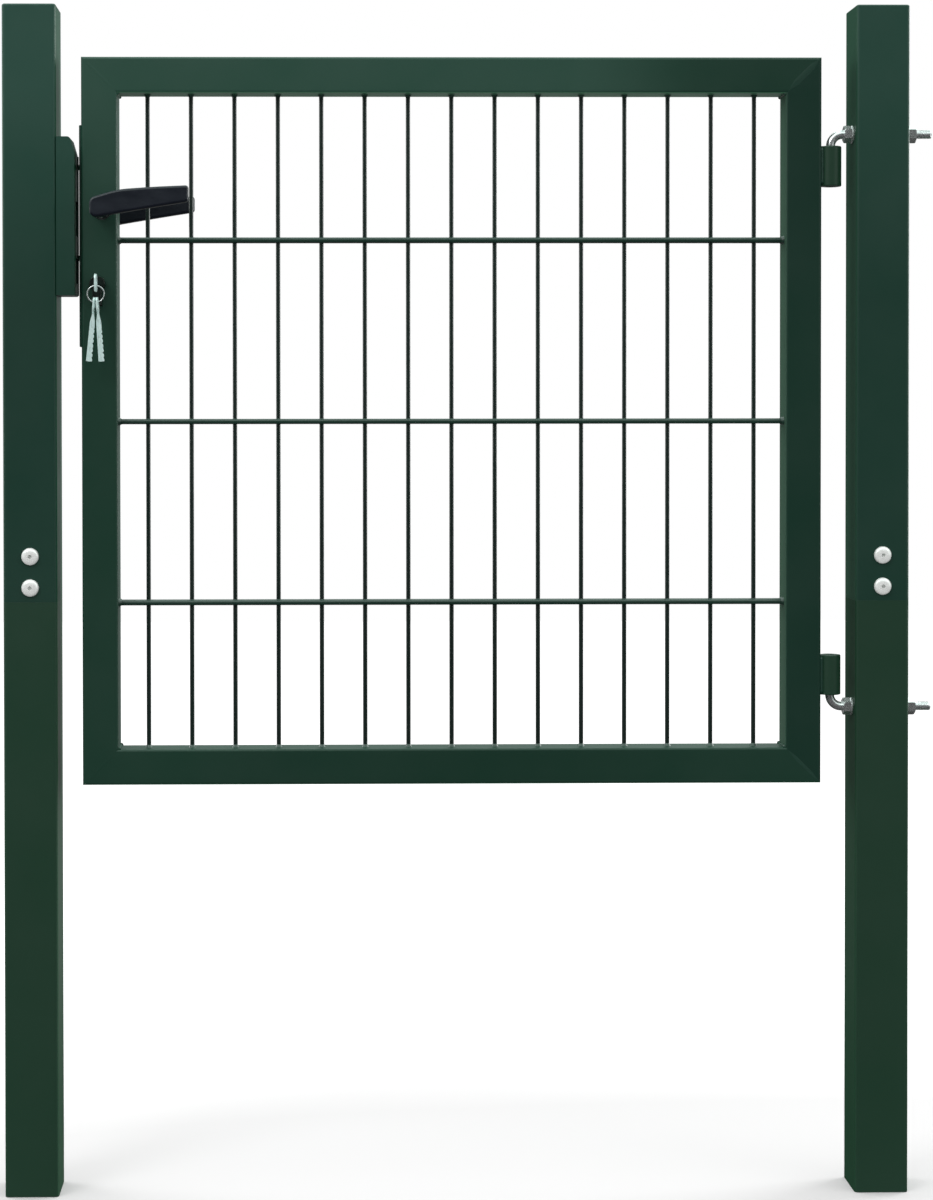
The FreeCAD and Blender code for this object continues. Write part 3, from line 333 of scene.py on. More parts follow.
@dataclass(frozen=True)
class PowderCoat:
    """Semi-gloss powder coating with a fine orange peel.

    A paler tone, painted light, lies high and left on the gate: it fades in over one range of heights and out
    over one range of widths. Faces that look along an axis take painted light and shade as tones of their own;
    a coat with such tones is duller where it looks left.
    """

    name: str
    colour: Colour
    shade: Colour
    roughness: float = 0.40
    gloss: float = 0.38
    peel: float = 0.08
    # painted light: a paler tone painted high and left on the gate, fading over the heights and widths below
    painted_light: Colour | None = None
    painted_light_rise: Range = (0.98, 1.24)
    painted_light_side: Range = (-0.34, -0.21)
    # painted light and shade: tones painted on the faces that look along an axis
    painted_flank_shading: tuple[tuple[str, int, Colour], ...] = ()
    painted_flank_turn: Range = (0.6, 0.9)
    left_gloss: float = 0.02

    def build(self) -> bpy.types.Material:
        """Build the coating.

        Returns:
            Its material.
        """
        n = Nodes(bpy.data.materials.new(self.name))
        tone = n.ramp(n.noise(2.3, 1.5, 0.45, (1, 1, 0.5)), 0.36, 0.66, self.shade, self.colour)
        tone = n.mix(n.span(n.noise(34, 4, 0.6), 0.35, 0.75, 0.0, 0.2), tone, self.shade)
        # painted light: mix in the paler tone high and left on the gate
        if self.painted_light is not None:
            tone = n.mix(self.painted_light_share(n), tone, self.painted_light)
        n.set(Specular_IOR_Level=self.gloss)
        # painted light and shade on the faces that look along an axis
        if self.painted_flank_shading:
            tone = self.paint_flank_shading(n, tone)
        n.link(tone, n.shader.inputs["Base Color"])
        patch = n.span(n.noise(11, 3, 0.55), 0.3, 0.7, self.roughness - 0.05, self.roughness + 0.06)
        n.link(patch, n.shader.inputs["Roughness"])
        if self.peel > 0:
            n.bump([(n.noise(420, 2, 0.5), self.peel, 0.0004), (n.noise(60, 2, 0.5), self.peel * 0.4, 0.001)])
        return n.owner

    def painted_light_share(self, n: Nodes) -> Socket:
        """The share of the tone lit.

        Args:
            n: the material's nodes.

        Returns:
            The painted light's share socket, 1 high on the left and 0 below and beyond.
        """
        spot = n.parts(n.place())
        return n.math("MULTIPLY", n.span(spot["Z"], *self.painted_light_rise, 0.0, 1.0),
                      n.span(spot["X"], *self.painted_light_side, 1.0, 0.0))

    def paint_flank_shading(self, n: Nodes, tone: Socket) -> Socket:
        """Paint light and shade on faces that look along an axis as tones of their own, and give faces that look
        left a duller coat.

        Args:
            n: the material's nodes.
            tone: the tone of all other faces.

        Returns:
            The tone's socket.
        """
        facing = n.parts(n.add("ShaderNodeTexCoord").outputs["Normal"])
        start, full = self.painted_flank_turn
        for axis, sign, colour in self.painted_flank_shading:
            tone = n.mix(n.span(facing[axis], start * sign, full * sign, 0.0, 1.0), tone, colour)
        gloss = n.span(facing["X"], -full, -start, self.left_gloss, self.gloss)
        n.link(gloss, n.shader.inputs["Specular IOR Level"])
        return tone


@dataclass(frozen=True)
class BareMetal:
    """Plated or drawn metal with fine directional scratches."""

    name: str
    colour: Colour
    shade: Colour
    roughness: float = 0.3
    grain: tuple[float, float, float] = (1, 1, 1)
    scratch: float = 0.06
    metallic: float = 1.0

    def build(self) -> bpy.types.Material:
        """Build the metal.

        Returns:
            Its material.
        """
        n = Nodes(bpy.data.materials.new(self.name))
        mottle = n.noise(140, 4, 0.6)
        n.link(n.ramp(mottle, 0.32, 0.7, self.shade, self.colour), n.shader.inputs["Base Color"])
        brushed = n.noise(900, 3, 0.6, self.grain)
        rough = n.span(brushed, 0.3, 0.7, self.roughness - 0.07, self.roughness + 0.1)
        n.link(rough, n.shader.inputs["Roughness"])
        n.bump([(brushed, self.scratch, 0.0001), (mottle, self.scratch, 0.0003)])
        n.set(Metallic=self.metallic)
        return n.owner


@dataclass(frozen=True)
class MouldedPlastic:
    """Satin polyamide with a fine spark-eroded texture."""

    name: str
    colour: Colour
    rub: Colour
    roughness: float = 0.34
    gloss: float = 0.5

    def build(self) -> bpy.types.Material:
        """Build the plastic.

        Returns:
            Its material.
        """
        n = Nodes(bpy.data.materials.new(self.name))
        smear = n.noise(45, 4, 0.6, (0.6, 1, 1.6))
        n.link(n.ramp(smear, 0.4, 0.78, self.colour, self.rub), n.shader.inputs["Base Color"])
        rough = n.span(smear, 0.3, 0.75, self.roughness - 0.05, self.roughness + 0.09)
        n.link(rough, n.shader.inputs["Roughness"])
        n.bump([(n.noise(1800, 2, 0.6), 0.10, 0.0001)])
        n.set(Specular_IOR_Level=self.gloss)
        return n.owner


class Finish(Enum):
    """The finishes of the gate."""

    # painted light and shade: the flanks below are tones painted on faces that look left, right or down
    GREEN = PowderCoat("moss_green_powder_coat", (0.0080, 0.0450, 0.0295), (0.0048, 0.0350, 0.0220),
                       # painted light: lit is a paler tone painted high and left on the gate
                       painted_light=(0.0150, 0.0630, 0.0440), painted_light_rise=(1.0, 1.24), painted_light_side=(-0.9, 1.6),
                       painted_flank_shading=(("X", 1, (0.0070, 0.0650, 0.0320)), ("X", -1, (0.0205, 0.0630, 0.0390))))
    FOOT_GREEN = PowderCoat("post_foot_powder_coat", (0.0125, 0.0490, 0.0270), (0.0090, 0.0395, 0.0205),
                            painted_flank_shading=(("X", 1, (0.0235, 0.0730, 0.0390)), ("X", -1, (0.0140, 0.0460, 0.0250))))
    # painted light: the leaf coat's lit tone is painted high and left on the gate
    LEAF_GREEN = PowderCoat("leaf_powder_coat", (0.0085, 0.0450, 0.0270), (0.0050, 0.0350, 0.0205),
                            painted_light=(0.0170, 0.0640, 0.0425), painted_flank_shading=(("Z", -1, (0.0630, 0.1950, 0.1090)),))
    # painted shade: the hinge stile takes a darker copy of the leaf coat, with painted light on the face that
    # looks left
    SHADED_STILE_GREEN = PowderCoat("hinge_stile_painted_shade_coat", (0.0050, 0.0370, 0.0220), (0.0025, 0.0280, 0.0170),
                             painted_flank_shading=(("X", -1, (0.0380, 0.0830, 0.0560)),))
    MESH_GREEN = PowderCoat("mesh_powder_coat", (0.0125, 0.0430, 0.0300), (0.0080, 0.0320, 0.0215),
                            roughness=0.30, gloss=0.70, peel=0.0)
    # painted shade: the upright wires take a darker copy of the coat that the cross wires wear
    SHADED_UPRIGHT_GREEN = PowderCoat("upright_wire_painted_shade_coat", (0.0065, 0.0180, 0.0140), (0.0050, 0.0130, 0.0100),
                               roughness=0.30, gloss=0.50, peel=0.0)
    # painted highlight: a coat lighter than the leaf's, for welds that catch the light
    PAINTED_HIGHLIGHT_WELD_GREEN = PowderCoat("coated_weld_painted_highlight", (0.0130, 0.0520, 0.0350), (0.0090, 0.0400, 0.0260),
                            roughness=0.34, gloss=0.50, peel=0.12)
    ZINC = BareMetal("zinc_plated_steel", (0.90, 0.91, 0.92), (0.74, 0.75, 0.76), 0.24, scratch=0.02,
                     metallic=0.86)
    DOME_ZINC = BareMetal("zinc_plated_bolt_head", (0.96, 0.98, 0.96), (0.87, 0.89, 0.87), 0.24, scratch=0.02,
                          metallic=0.28)
    DULL_ZINC = BareMetal("galvanised_sheet", (0.50, 0.51, 0.52), (0.33, 0.34, 0.35), 0.45, metallic=0.9)
    NICKEL = BareMetal("nickel_plated_key", (0.74, 0.93, 0.90), (0.62, 0.82, 0.79), 0.30, (1, 1, 0.15),
                       scratch=0.01, metallic=0.35)
    BOLT_STEEL = BareMetal("satin_steel_bolt", (0.70, 0.70, 0.70), (0.50, 0.50, 0.50), 0.3, (1, 1, 0.1))
    BLACK = MouldedPlastic("black_polyamide", (0.0022, 0.0048, 0.0130), (0.0055, 0.0090, 0.0200), 0.42)
    # dark plating, partly painted shade: the cylinder's face stands where the key casts its shade
    DARK_CYLINDER_PAINTED_SHADE = BareMetal("dark_plated_cylinder_painted_shade", (0.050, 0.062, 0.056), (0.024, 0.030, 0.027), 0.38)


SLOT_FINISHES = {
    "green_coating": (Finish.GREEN, Finish.FOOT_GREEN, Finish.LEAF_GREEN, Finish.SHADED_STILE_GREEN, Finish.MESH_GREEN,
                      Finish.SHADED_UPRIGHT_GREEN, Finish.PAINTED_HIGHLIGHT_WELD_GREEN),
    "zinc_steel": (Finish.ZINC, Finish.DOME_ZINC, Finish.DULL_ZINC),
    "forend_steel": (Finish.BOLT_STEEL,),
    "nickel": (Finish.NICKEL, Finish.DARK_CYLINDER_PAINTED_SHADE),
    "black_lever": (Finish.BLACK,),
}

NODES_OF_FINISH = {
    Finish.FOOT_GREEN: ("hinge_post_lower", "strike_post_lower"),
    Finish.MESH_GREEN: ("mesh_panel",),
    Finish.LEAF_GREEN: ("top_rail", "bottom_rail", "lock_stile"),
    Finish.SHADED_STILE_GREEN: ("hinge_stile",),
    Finish.ZINC: ("upper_hinge_bolt", "lower_hinge_bolt", "hinge_nuts", "hinge_washers", "post_joint_bolts",
                  "key_ring", "handle_spindle"),
    Finish.DULL_ZINC: ("hinge_post_sleeve", "strike_post_sleeve", "lock_case"),
    Finish.NICKEL: ("key", "left_spare_key", "right_spare_key"),
    Finish.BOLT_STEEL: ("latch_bolt", "dead_bolt"),
    Finish.BLACK: ("front_lever", "rear_lever"),
    Finish.DARK_CYLINDER_PAINTED_SHADE: ("lock_cylinder",),
}


class FinishShelf:
    """Builds each finish once and hands it out."""

    def __init__(self) -> None:
        """Start with nothing built and know each finish's slot in the record."""
        self.built: dict[Finish, bpy.types.Material] = {}
        self.slots = {finish: slot for slot, finishes in SLOT_FINISHES.items() for finish in finishes}

    def get(self, finish: Finish) -> bpy.types.Material:
        """Hand out a finish.

        Args:
            finish: which one.

        Returns:
            Its material.
        """
        if finish not in self.built:
            self.built[finish] = finish.value.build()
        return self.built[finish]

    def coat_nodes(self) -> None:
        """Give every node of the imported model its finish, green where no other is named."""
        finishes = {node: finish for finish, nodes in NODES_OF_FINISH.items() for node in nodes}
        for node, thing in frame["nodes"].items():
            thing.data.materials.clear()
            thing.data.materials.append(self.get(finishes.get(node, Finish.GREEN)))


# ---------------------------------------------------------------- shapes by bmesh operators


def only(kind: type, items: Iterable[object]) -> list:
    """The items of one kind, such as the corners or the edges that an operator made."""
    return [item for item in items if isinstance(item, kind)]


def edges_at(verts: Iterable[Vert]) -> list[Edge]:
    """The edges that meet some corners, each once and in a fixed order."""
    return list(dict.fromkeys(edge for vert in verts for edge in vert.link_edges))


def at_levels(axis: int, *levels: float, longer_than: float = 0.0) -> EdgeTest:
    """A test for edges whose ends lie on some levels.

    Args:
        axis: 0, 1 or 2 for the levels of x, y or z.
        levels: the levels.
        longer_than: the length that an edge has to pass.

    Returns:
        The test.
    """
    def test(edge: Edge) -> bool:
        """Whether both ends lie on a level and the edge is long enough."""
        near = all(min(abs(vert.co[axis] - level) for level in levels) < ON_LEVEL for vert in edge.verts)
        return near and edge.calc_length() > longer_than
    return test


def sweep(bm: Shape, chain: Sequence[Vert], edges: Sequence[Edge], turns: float, steps: int, climb: float = 0.0,
          closed: bool = False) -> list:
    """Spin a chain about +Z.

    Args:
        bm: the shape that holds the chain.
        chain: its corners.
        edges: its edges.
        turns: how many turns it makes.
        steps: faces along the way.
        climb: how far it climbs at each step.
        closed: whether its end meets its start.

    Returns:
        The chain at the end of the way.
    """
    made = bmesh.ops.spin(bm, geom=[*chain, *edges], cent=(0, 0, 0), axis=(0, 0, 1), dvec=(0, 0, climb),
                          angle=math.tau * turns, steps=steps, use_merge=closed, use_normal_flip=False,
                          use_duplicate=False)
    return made["geom_last"]


def profile_chain(bm: Shape, profile: Outline) -> tuple[list[Vert], list[Edge]]:
    """Start a shape with a chain of edges through pairs of radius and height."""
    chain = [bm.verts.new((radius, 0, height)) for radius, height in profile]
    return chain, [bm.edges.new(pair) for pair in zip(chain, chain[1:])]


def turned(profile: Outline, steps: int = 40) -> Shape:
    """Turn a profile about +Z.

    Args:
        profile: pairs of radius and height, from bottom to top.
        steps: faces round a full turn.

    Returns:
        The turned shape.
    """
    bm = bmesh.new()
    chain, edges = profile_chain(bm, profile)
    sweep(bm, chain, edges, 1.0, steps, closed=True)
    bmesh.ops.remove_doubles(bm, verts=bm.verts, dist=MERGE)
    return bm


def rod(radius: float, length: float, segments: int = 16) -> Shape:
    """A round bar from the origin along +Z.

    Args:
        radius: its radius.
        length: its length.
        segments: faces round it.

    Returns:
        The bar.
    """
    bm = bmesh.new()
    bmesh.ops.create_cone(bm, cap_ends=True, segments=segments, radius1=radius, radius2=radius, depth=length,
                          matrix=Matrix.Translation((0, 0, length / 2)))
    return bm


def ease(bm: Shape, offset: float, segments: int = 2, pick: EdgeTest | None = None) -> None:
    """Round the sharp outward edges of a shape.

    Args:
        bm: the shape.
        offset: how far the rounding reaches.
        segments: faces across it.
        pick: tells which of these edges are rounded, or None for all.
    """
    sharp = [e for e in bm.edges if len(e.link_faces) == 2 and e.is_convex and e.calc_face_angle(0) > SHARP_EDGE
             and (pick is None or pick(e))]
    bmesh.ops.bevel(bm, geom=sharp, offset=offset, offset_type="OFFSET", segments=segments, profile=0.5,
                    affect="EDGES", clamp_overlap=True, material=-1)


def plate(outline: Corners, thickness: float, holes: Outline = (), hole_radius: float = 0.0, edge: float = 0.0,
          edge_segments: int = 3) -> Shape:
    """A flat plate about the plane of x and y.

    Args:
        outline: corners in order, each with x, y and how far its rounding reaches along its sides.
        thickness: along z, half of it on each side of the plane.
        holes: the middles of round holes.
        hole_radius: the radius of every hole.
        edge: rounding of the rim edges.
        edge_segments: faces across that rounding.

    Returns:
        The plate.
    """
    bm = bmesh.new()
    corners = [bm.verts.new((x, y, -thickness / 2)) for x, y, _ in outline]
    bm.faces.new(corners)
    reaches = sorted({reach for _, _, reach in outline if reach > 0})
    groups = [[corner for corner, point in zip(corners, outline) if point[2] == reach] for reach in reaches]
    for reach, group in zip(reaches, groups):
        bmesh.ops.bevel(bm, geom=group, offset=reach, offset_type="OFFSET", segments=5, profile=0.5,
                        affect="VERTICES", clamp_overlap=True, material=-1)
    if holes:
        bmesh.ops.delete(bm, geom=list(bm.faces), context="FACES_ONLY")
        for x, y in holes:
            bmesh.ops.create_circle(bm, segments=24, radius=hole_radius,
                                    matrix=Matrix.Translation((x, y, -thickness / 2)))
        bmesh.ops.triangle_fill(bm, use_beauty=True, use_dissolve=False, edges=bm.edges)
    made = bmesh.ops.extrude_face_region(bm, geom=list(bm.faces))
    bmesh.ops.translate(bm, verts=only(Vert, made["geom"]), vec=(0, 0, thickness))
    bmesh.ops.recalc_face_normals(bm, faces=bm.faces)
    if edge > 0:
        ease(bm, edge, edge_segments)
    return bm


def block_corners(low: tuple[float, float], high: tuple[float, float], reach: float) -> Corners:
    """A rectangular plate's outline from two opposite corners, with one reach for all roundings."""
    return [(*low, reach), (high[0], low[1], reach), (*high, reach), (low[0], high[1], reach)]


def copy_of(node: str) -> Shape:
    """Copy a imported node's mesh, merged and with its flat faces joined.

    Args:
        node: the node's name.

    Returns:
        The copy.
    """
    bm = bmesh.new()
    bm.from_mesh(frame["nodes"][node].data)
    bmesh.ops.remove_doubles(bm, verts=bm.verts, dist=NODE_MERGE)
    bmesh.ops.dissolve_limit(bm, angle_limit=FLAT_FACE, use_dissolve_boundaries=False, verts=bm.verts,
                             edges=bm.edges)
    bmesh.ops.recalc_face_normals(bm, faces=bm.faces)
    return bm


def bead(length: float, radius: float, ripples: int, seed: float = 0.0) -> Shape:
    """A weld bead from the origin along +Z.

    Args:
        length: from end to end.
        radius: half its width.
        ripples: how many scallops it has, or 0 for one ground smooth.
        seed: varies the scallops.

    Returns:
        The bead.
    """
    rings = max(8, ripples * 3)
    profile = [(0.0, 0.0)]
    for i in range(1, rings):
        scallop = 0.86 + 0.14 * abs(math.sin(math.pi * i / 3 + seed)) if ripples else 1.0
        wander = 0.05 * math.sin(2.3 * i + seed) if ripples else 0.0
        taper = min(1.0, 0.55 * i, 0.55 * (rings - i))
        profile.append((radius * (scallop + wander) * taper, length * i / rings))
    return turned(profile + [(0.0, length)], 10)


def coil(major: float, minor_across: float, minor_along: float, turns: float, pitch: float) -> Shape:
    """A coil of flat wire about +Z, starting at z 0.

    Args:
        major: radius to the middle of the wire.
        minor_across: the wire's size across the axis.
        minor_along: the wire's size along the axis.
        turns: how many turns it makes.
        pitch: how far it climbs in one turn.

    Returns:
        The coil.
    """
    bm = bmesh.new()
    squash = Matrix.Diagonal((minor_across / 2, 1, minor_along / 2, 1))
    stand = Matrix.Translation((major, 0, 0)) @ squash @ Matrix.Rotation(math.pi / 2, 4, "X")
    verts = bmesh.ops.create_circle(bm, segments=8, radius=1, matrix=stand)["verts"]
    edges = edges_at(verts)
    steps = int(44 * turns)
    first = bmesh.ops.duplicate(bm, geom=verts + edges)["geom"]
    last = sweep(bm, verts, edges, turns, steps, pitch * turns / steps)
    for rim in (first, last):
        bmesh.ops.holes_fill(bm, edges=only(Edge, rim), sides=16)
    bmesh.ops.remove_doubles(bm, verts=bm.verts, dist=MERGE)
    return bm


def thread(radius: float, pitch: float, length: float, steps: int = 20) -> Shape:
    """A screw thread from the origin along +Z.

    Args:
        radius: the crests' radius.
        pitch: from crest to crest.
        length: how far it runs.
        steps: faces round one turn.

    Returns:
        The thread's skin, open towards the core.
    """
    bm = bmesh.new()
    root = radius - pitch * 0.54
    turns = int(length / pitch) - 1
    profile = ((root, 0.0), (radius, pitch * 0.42), (radius, pitch * 0.58), (root, pitch))
    chain, edges = profile_chain(bm, profile)
    sweep(bm, chain, edges, turns, steps * turns, pitch / steps)
    bmesh.ops.remove_doubles(bm, verts=bm.verts, dist=MERGE)
    return bm


def socket_head(head: float, rim: float, dome: float, socket: float, depth: float) -> Shape:
    """A domed screw head with a hexagon socket, standing on z 0.

    Args:
        head: its radius.
        rim: the height of its straight rim.
        dome: its whole height.
        socket: half the socket's width over corners.
        depth: the socket's depth.

    Returns:
        The head.
    """
    foot, lip = -1.5 * MM, dome - 0.3 * MM
    profile = [(0.0, foot), (head * 0.5, foot), (head * 0.5, 0.0), (head, 0.0), (head, rim)]
    for i in range(1, 7):
        angle = math.radians(10 + 12.5 * i)
        profile.append((head * math.cos(angle) ** 0.62, rim + (dome - rim) * math.sin(angle)))
    bm = turned(profile + [(socket * 1.12, dome)], 48)
    outer = [e for e in bm.edges if e.is_boundary]
    hexagon = bmesh.ops.create_circle(bm, segments=6, radius=socket, matrix=Matrix.Translation((0, 0, lip)))
    bmesh.ops.subdivide_edges(bm, edges=edges_at(hexagon["verts"]), cuts=7)
    inner = [e for e in bm.edges if e.is_wire]
    bmesh.ops.bridge_loops(bm, edges=outer + inner)
    made = bmesh.ops.extrude_edge_only(bm, edges=inner)
    bmesh.ops.translate(bm, verts=only(Vert, made["geom"]), vec=(0, 0, -depth))
    bmesh.ops.holes_fill(bm, edges=[e for e in bm.edges if e.is_boundary], sides=64)
    return bm


def nut(across_flats: float, thickness: float, corner: float) -> Shape:
    """A hexagon nut about +Z, centred, with two corners on x.

    Args:
        across_flats: its width over two flats.
        thickness: its height.
        corner: how much of each corner is turned off at both faces.

    Returns:
        The nut.
    """
    bm = bmesh.new()
    radius = across_flats / math.sqrt(3)
    bmesh.ops.create_cone(bm, cap_ends=True, segments=6, radius1=radius, radius2=radius, depth=thickness,
                          matrix=Matrix.Rotation(math.pi / 2, 4, "Z"))
    bmesh.ops.bevel(bm, geom=list(bm.verts), offset=corner, offset_type="OFFSET", segments=2, profile=0.5,
                    affect="VERTICES", material=-1)
    return bm


class Piece:
    """One piece of the scene, gathered from shapes and then dressed."""

    def __init__(self, name: str) -> None:
        """Start an empty piece with a name."""
        self.name = name
        self.bm = bmesh.new()

    def put(self, shape: Shape, *matrices: Matrix) -> "Piece":
        """Set a shape at each matrix, or as it is if there is none, and free it.

        Args:
            shape: the shape.
            matrices: where its copies go.

        Returns:
            The piece itself.
        """
        mesh = bpy.data.meshes.new("shape")
        shape.to_mesh(mesh)
        shape.free()
        for matrix in matrices or (Matrix(),):
            copy = mesh.copy()
            copy.transform(matrix)
            self.bm.from_mesh(copy)
            bpy.data.meshes.remove(copy)
        bpy.data.meshes.remove(mesh)
        return self

    def done(self, shelf: FinishShelf, finish: Finish, body: Body, smooth: float, *replaced: str) -> None:
        """Close the piece, dress it and hang it on its body.

        Args:
            shelf: where the finish comes from.
            finish: the finish.
            body: the body that it moves with.
            smooth: the angle in degrees up to which edges are shaded smooth.
            replaced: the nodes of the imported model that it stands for.
        """
        bmesh.ops.recalc_face_normals(self.bm, faces=self.bm.faces)
        mesh = bpy.data.meshes.new(self.name)
        self.bm.to_mesh(mesh)
        self.bm.free()
        mesh.materials.clear()
        mesh.shade_smooth()
        mesh.set_sharp_from_angle(angle=math.radians(smooth))
        mesh.materials.append(shelf.get(finish))
        mesh.polygons.foreach_set("material_index", [0] * len(mesh.polygons))
        piece = bpy.data.objects.new(self.name, mesh)
        bpy.context.scene.collection.objects.link(piece)
        piece.modifiers.new("flat_faces_stay_flat", "WEIGHTED_NORMAL").keep_sharp = True
        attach(piece, body.value)
        if replaced:
            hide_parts(*replaced)
        log.info("%s: %d faces on %s", self.name, len(mesh.polygons), body.value)


@dataclass
class Assembly:
    """A part of the gate that takes its finishes from a shelf."""

    shelf: FinishShelf

    def build(self) -> None:
        """Build the assembly's pieces."""
        raise NotImplementedError


# ---------------------------------------------------------------- leaf, mesh and posts


@dataclass
class LeafFrame(Assembly):
    """The welds of the leaf's tube frame: ground ones across the mitres, standing ones in the inner corners."""

    tube: float = 40 * MM
    band: float = 1.15 * MM
    stand_off: float = 0.07 * MM
    swell: float = 1.6
    wide_swell: float = 3.0
    band_short: float = 7 * MM
    corner_bead: float = 1.2 * MM
    bead_short: float = 2 * MM
    bead_inset: float = 0.3 * MM
    blob: float = 3.4 * MM
    blob_short: float = 1 * MM
    blob_inset: float = 0.5 * MM

    def build(self) -> None:
        """Build the welds of the four corners."""
        # painted highlight: the right corners' welds take the lighter weld coat
        for side, right, finish in (("left", False, Finish.LEAF_GREEN), ("right", True, Finish.PAINTED_HIGHLIGHT_WELD_GREEN)):
            ground = Piece(f"{side}_mitre_weld_bands")
            standing = Piece(f"{side}_inner_corner_welds")
            for upper in (False, True):
                self.mitre(ground, right, upper)
                self.inner(standing, right, upper)
            ground.done(self.shelf, finish, Body.LEAF, 60)
            standing.done(self.shelf, finish, Body.LEAF, 60)

    @staticmethod
    def box() -> tuple[Vector, Vector]:
        """The outer corners of the leaf's frame."""
        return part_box("lock_stile")[0].copy(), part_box("hinge_stile")[1].copy()

    def corner(self, right: bool, upper: bool, inset: float) -> tuple[float, float]:
        """The x and z of the point that is inset from both outer sides of one corner of the frame."""
        low, high = self.box()
        return (high.x - inset if right else low.x + inset), (high.z - inset if upper else low.z + inset)

    def mitre(self, piece: Piece, right: bool, upper: bool) -> None:
        """A weld ground nearly flush across one mitre, on the front and on the back.

        Args:
            piece: the piece that takes it.
            right: whether the corner is a right one.
            upper: whether it is an upper one.
        """
        low, high = self.box()
        x, z = self.corner(right, upper, self.tube / 2)
        lean = math.pi / 4 if right == upper else -math.pi / 4
        length = self.tube * math.sqrt(2) - self.band_short
        radius = self.band * (self.wide_swell if right and upper else self.swell)
        for y in (low.y, high.y):
            middle = Matrix.Translation((x, y, z)) @ Matrix.Rotation(lean, 4, "Y")
            flat = Matrix.Diagonal((1, self.stand_off / self.band, 1, 1))
            flat = flat @ Matrix.Translation((0, 0, -length / 2))
            piece.put(bead(length, radius, 0, 0.7 * x), middle @ flat)

    def inner(self, piece: Piece, right: bool, upper: bool) -> None:
        """The weld left standing in one inner corner, over the depth of the tubes and thicker at both ends.

        Args:
            piece: the piece that takes it.
            right: whether the corner is a right one.
            upper: whether it is an upper one.
        """
        low, high = self.box()
        x, z = self.corner(right, upper, self.tube)
        inward = Vector((-1 if right else 1, 0, -1 if upper else 1))
        start = Vector((x, low.y + self.bead_short, z)) + inward * self.bead_inset
        length = high.y - low.y - 2 * self.bead_short
        piece.put(bead(length, self.corner_bead * 1.25, 9, x + z), seat(start, Along.Y))
        for y, along in ((low.y + self.blob_short, Along.Y), (high.y - self.blob_short, Along.MINUS_Y)):
            spot = Vector((x, y, z)) + inward * self.blob_inset
            piece.put(bead(self.blob, self.corner_bead * (1.5 if upper else 1.9), 2, z), seat(spot, along))


@dataclass
class WireMesh(Assembly):
    """The double-wire mesh: upright wires between pairs of cross wires, with their welds."""

    wire: float = 2.5 * MM
    cross: float = 3.0 * MM
    edge: float = 32.9 * MM
    cross_edge: float = 163.45 * MM
    spaces: int = 14
    rows: int = 3
    overlap: float = 0.35 * MM
    nugget: tuple[float, float, float] = (3.3 * MM, 2.0 * MM, 3.7 * MM)
    collar: Outline = ((1.9 * MM, 0.0), (1.3 * MM, 0.8 * MM), (0.4 * MM, 2.2 * MM), (-0.1 * MM, 3.0 * MM))

    def build(self) -> None:
        """Build the wires and the welds where they cross and where they meet the frame."""
        low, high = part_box("mesh_panel")
        pitch = (high.x - low.x - 2 * self.edge) / self.spaces
        rise = (high.z - low.z - 2 * self.cross_edge) / (self.rows - 1)
        offset = self.wire + self.cross - self.overlap
        xs = [low.x + self.edge + i * pitch for i in range(self.spaces + 1)]
        zs = [low.z + self.cross_edge + i * rise for i in range(self.rows)]
        pairs = [(side * offset, z) for z in zs for side in (-1, 1)]
        uprights = Piece("mesh_upright_wires")
        uprights.put(rod(self.wire, high.z - low.z), *[seat((x, 0, low.z)) for x in xs])
        # painted shade: the uprights are coated darker than the cross wires
        uprights.done(self.shelf, Finish.SHADED_UPRIGHT_GREEN, Body.LEAF, 40, "mesh_panel")
        crossing = Piece("mesh_cross_wires")
        crossing.put(rod(self.cross, high.x - low.x), *[seat((low.x, y, z), Along.X) for y, z in pairs])
        crossing.done(self.shelf, Finish.MESH_GREEN, Body.LEAF, 40)
        self.spot_welds(xs, zs)
        self.end_welds(xs, pairs)

    def spot_welds(self, xs: Sequence[float], zs: Sequence[float]) -> None:
        """A pressed weld nugget on both sides of every crossing.

        Args:
            xs: where the upright wires are.
            zs: where the pairs of cross wires are.
        """
        welds = Piece("mesh_spot_welds")
        wide, deep, tall = self.nugget
        for i, x in enumerate(xs):
            for j, z in enumerate(zs):
                for side in (-1, 1):
                    swell = 1.0 + 0.14 * math.sin(3.1 * i + 1.7 * j + side)
                    weld = bmesh.new()
                    bmesh.ops.create_uvsphere(weld, u_segments=10, v_segments=6, radius=1,
                                              matrix=Matrix.Diagonal((wide * swell, deep, tall, 1)))
                    welds.put(weld, Matrix.Translation((x, side * self.wire, z)))
        welds.done(self.shelf, Finish.MESH_GREEN, Body.LEAF, 60)

    def end_welds(self, xs: Sequence[float], pairs: Sequence[tuple[float, float]]) -> None:
        """A small collar of weld where each wire meets the frame.

        Args:
            xs: where the upright wires are.
            pairs: the y and z of each cross wire.
        """
        low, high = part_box("mesh_panel")
        collars = Piece("mesh_end_welds")
        upright_ends = [seat((x, 0, low.z)) for x in xs] + [seat((x, 0, high.z), Along.MINUS_Z) for x in xs]
        cross_ends = [seat((low.x, y, z), Along.X) for y, z in pairs]
        cross_ends += [seat((high.x, y, z), Along.MINUS_X) for y, z in pairs]
        for wire, ends in ((self.wire, upright_ends), (self.cross, cross_ends)):
            collars.put(turned([(wire + radius, height) for radius, height in self.collar], 12), *ends)
        collars.done(self.shelf, Finish.MESH_GREEN, Body.LEAF, 60)


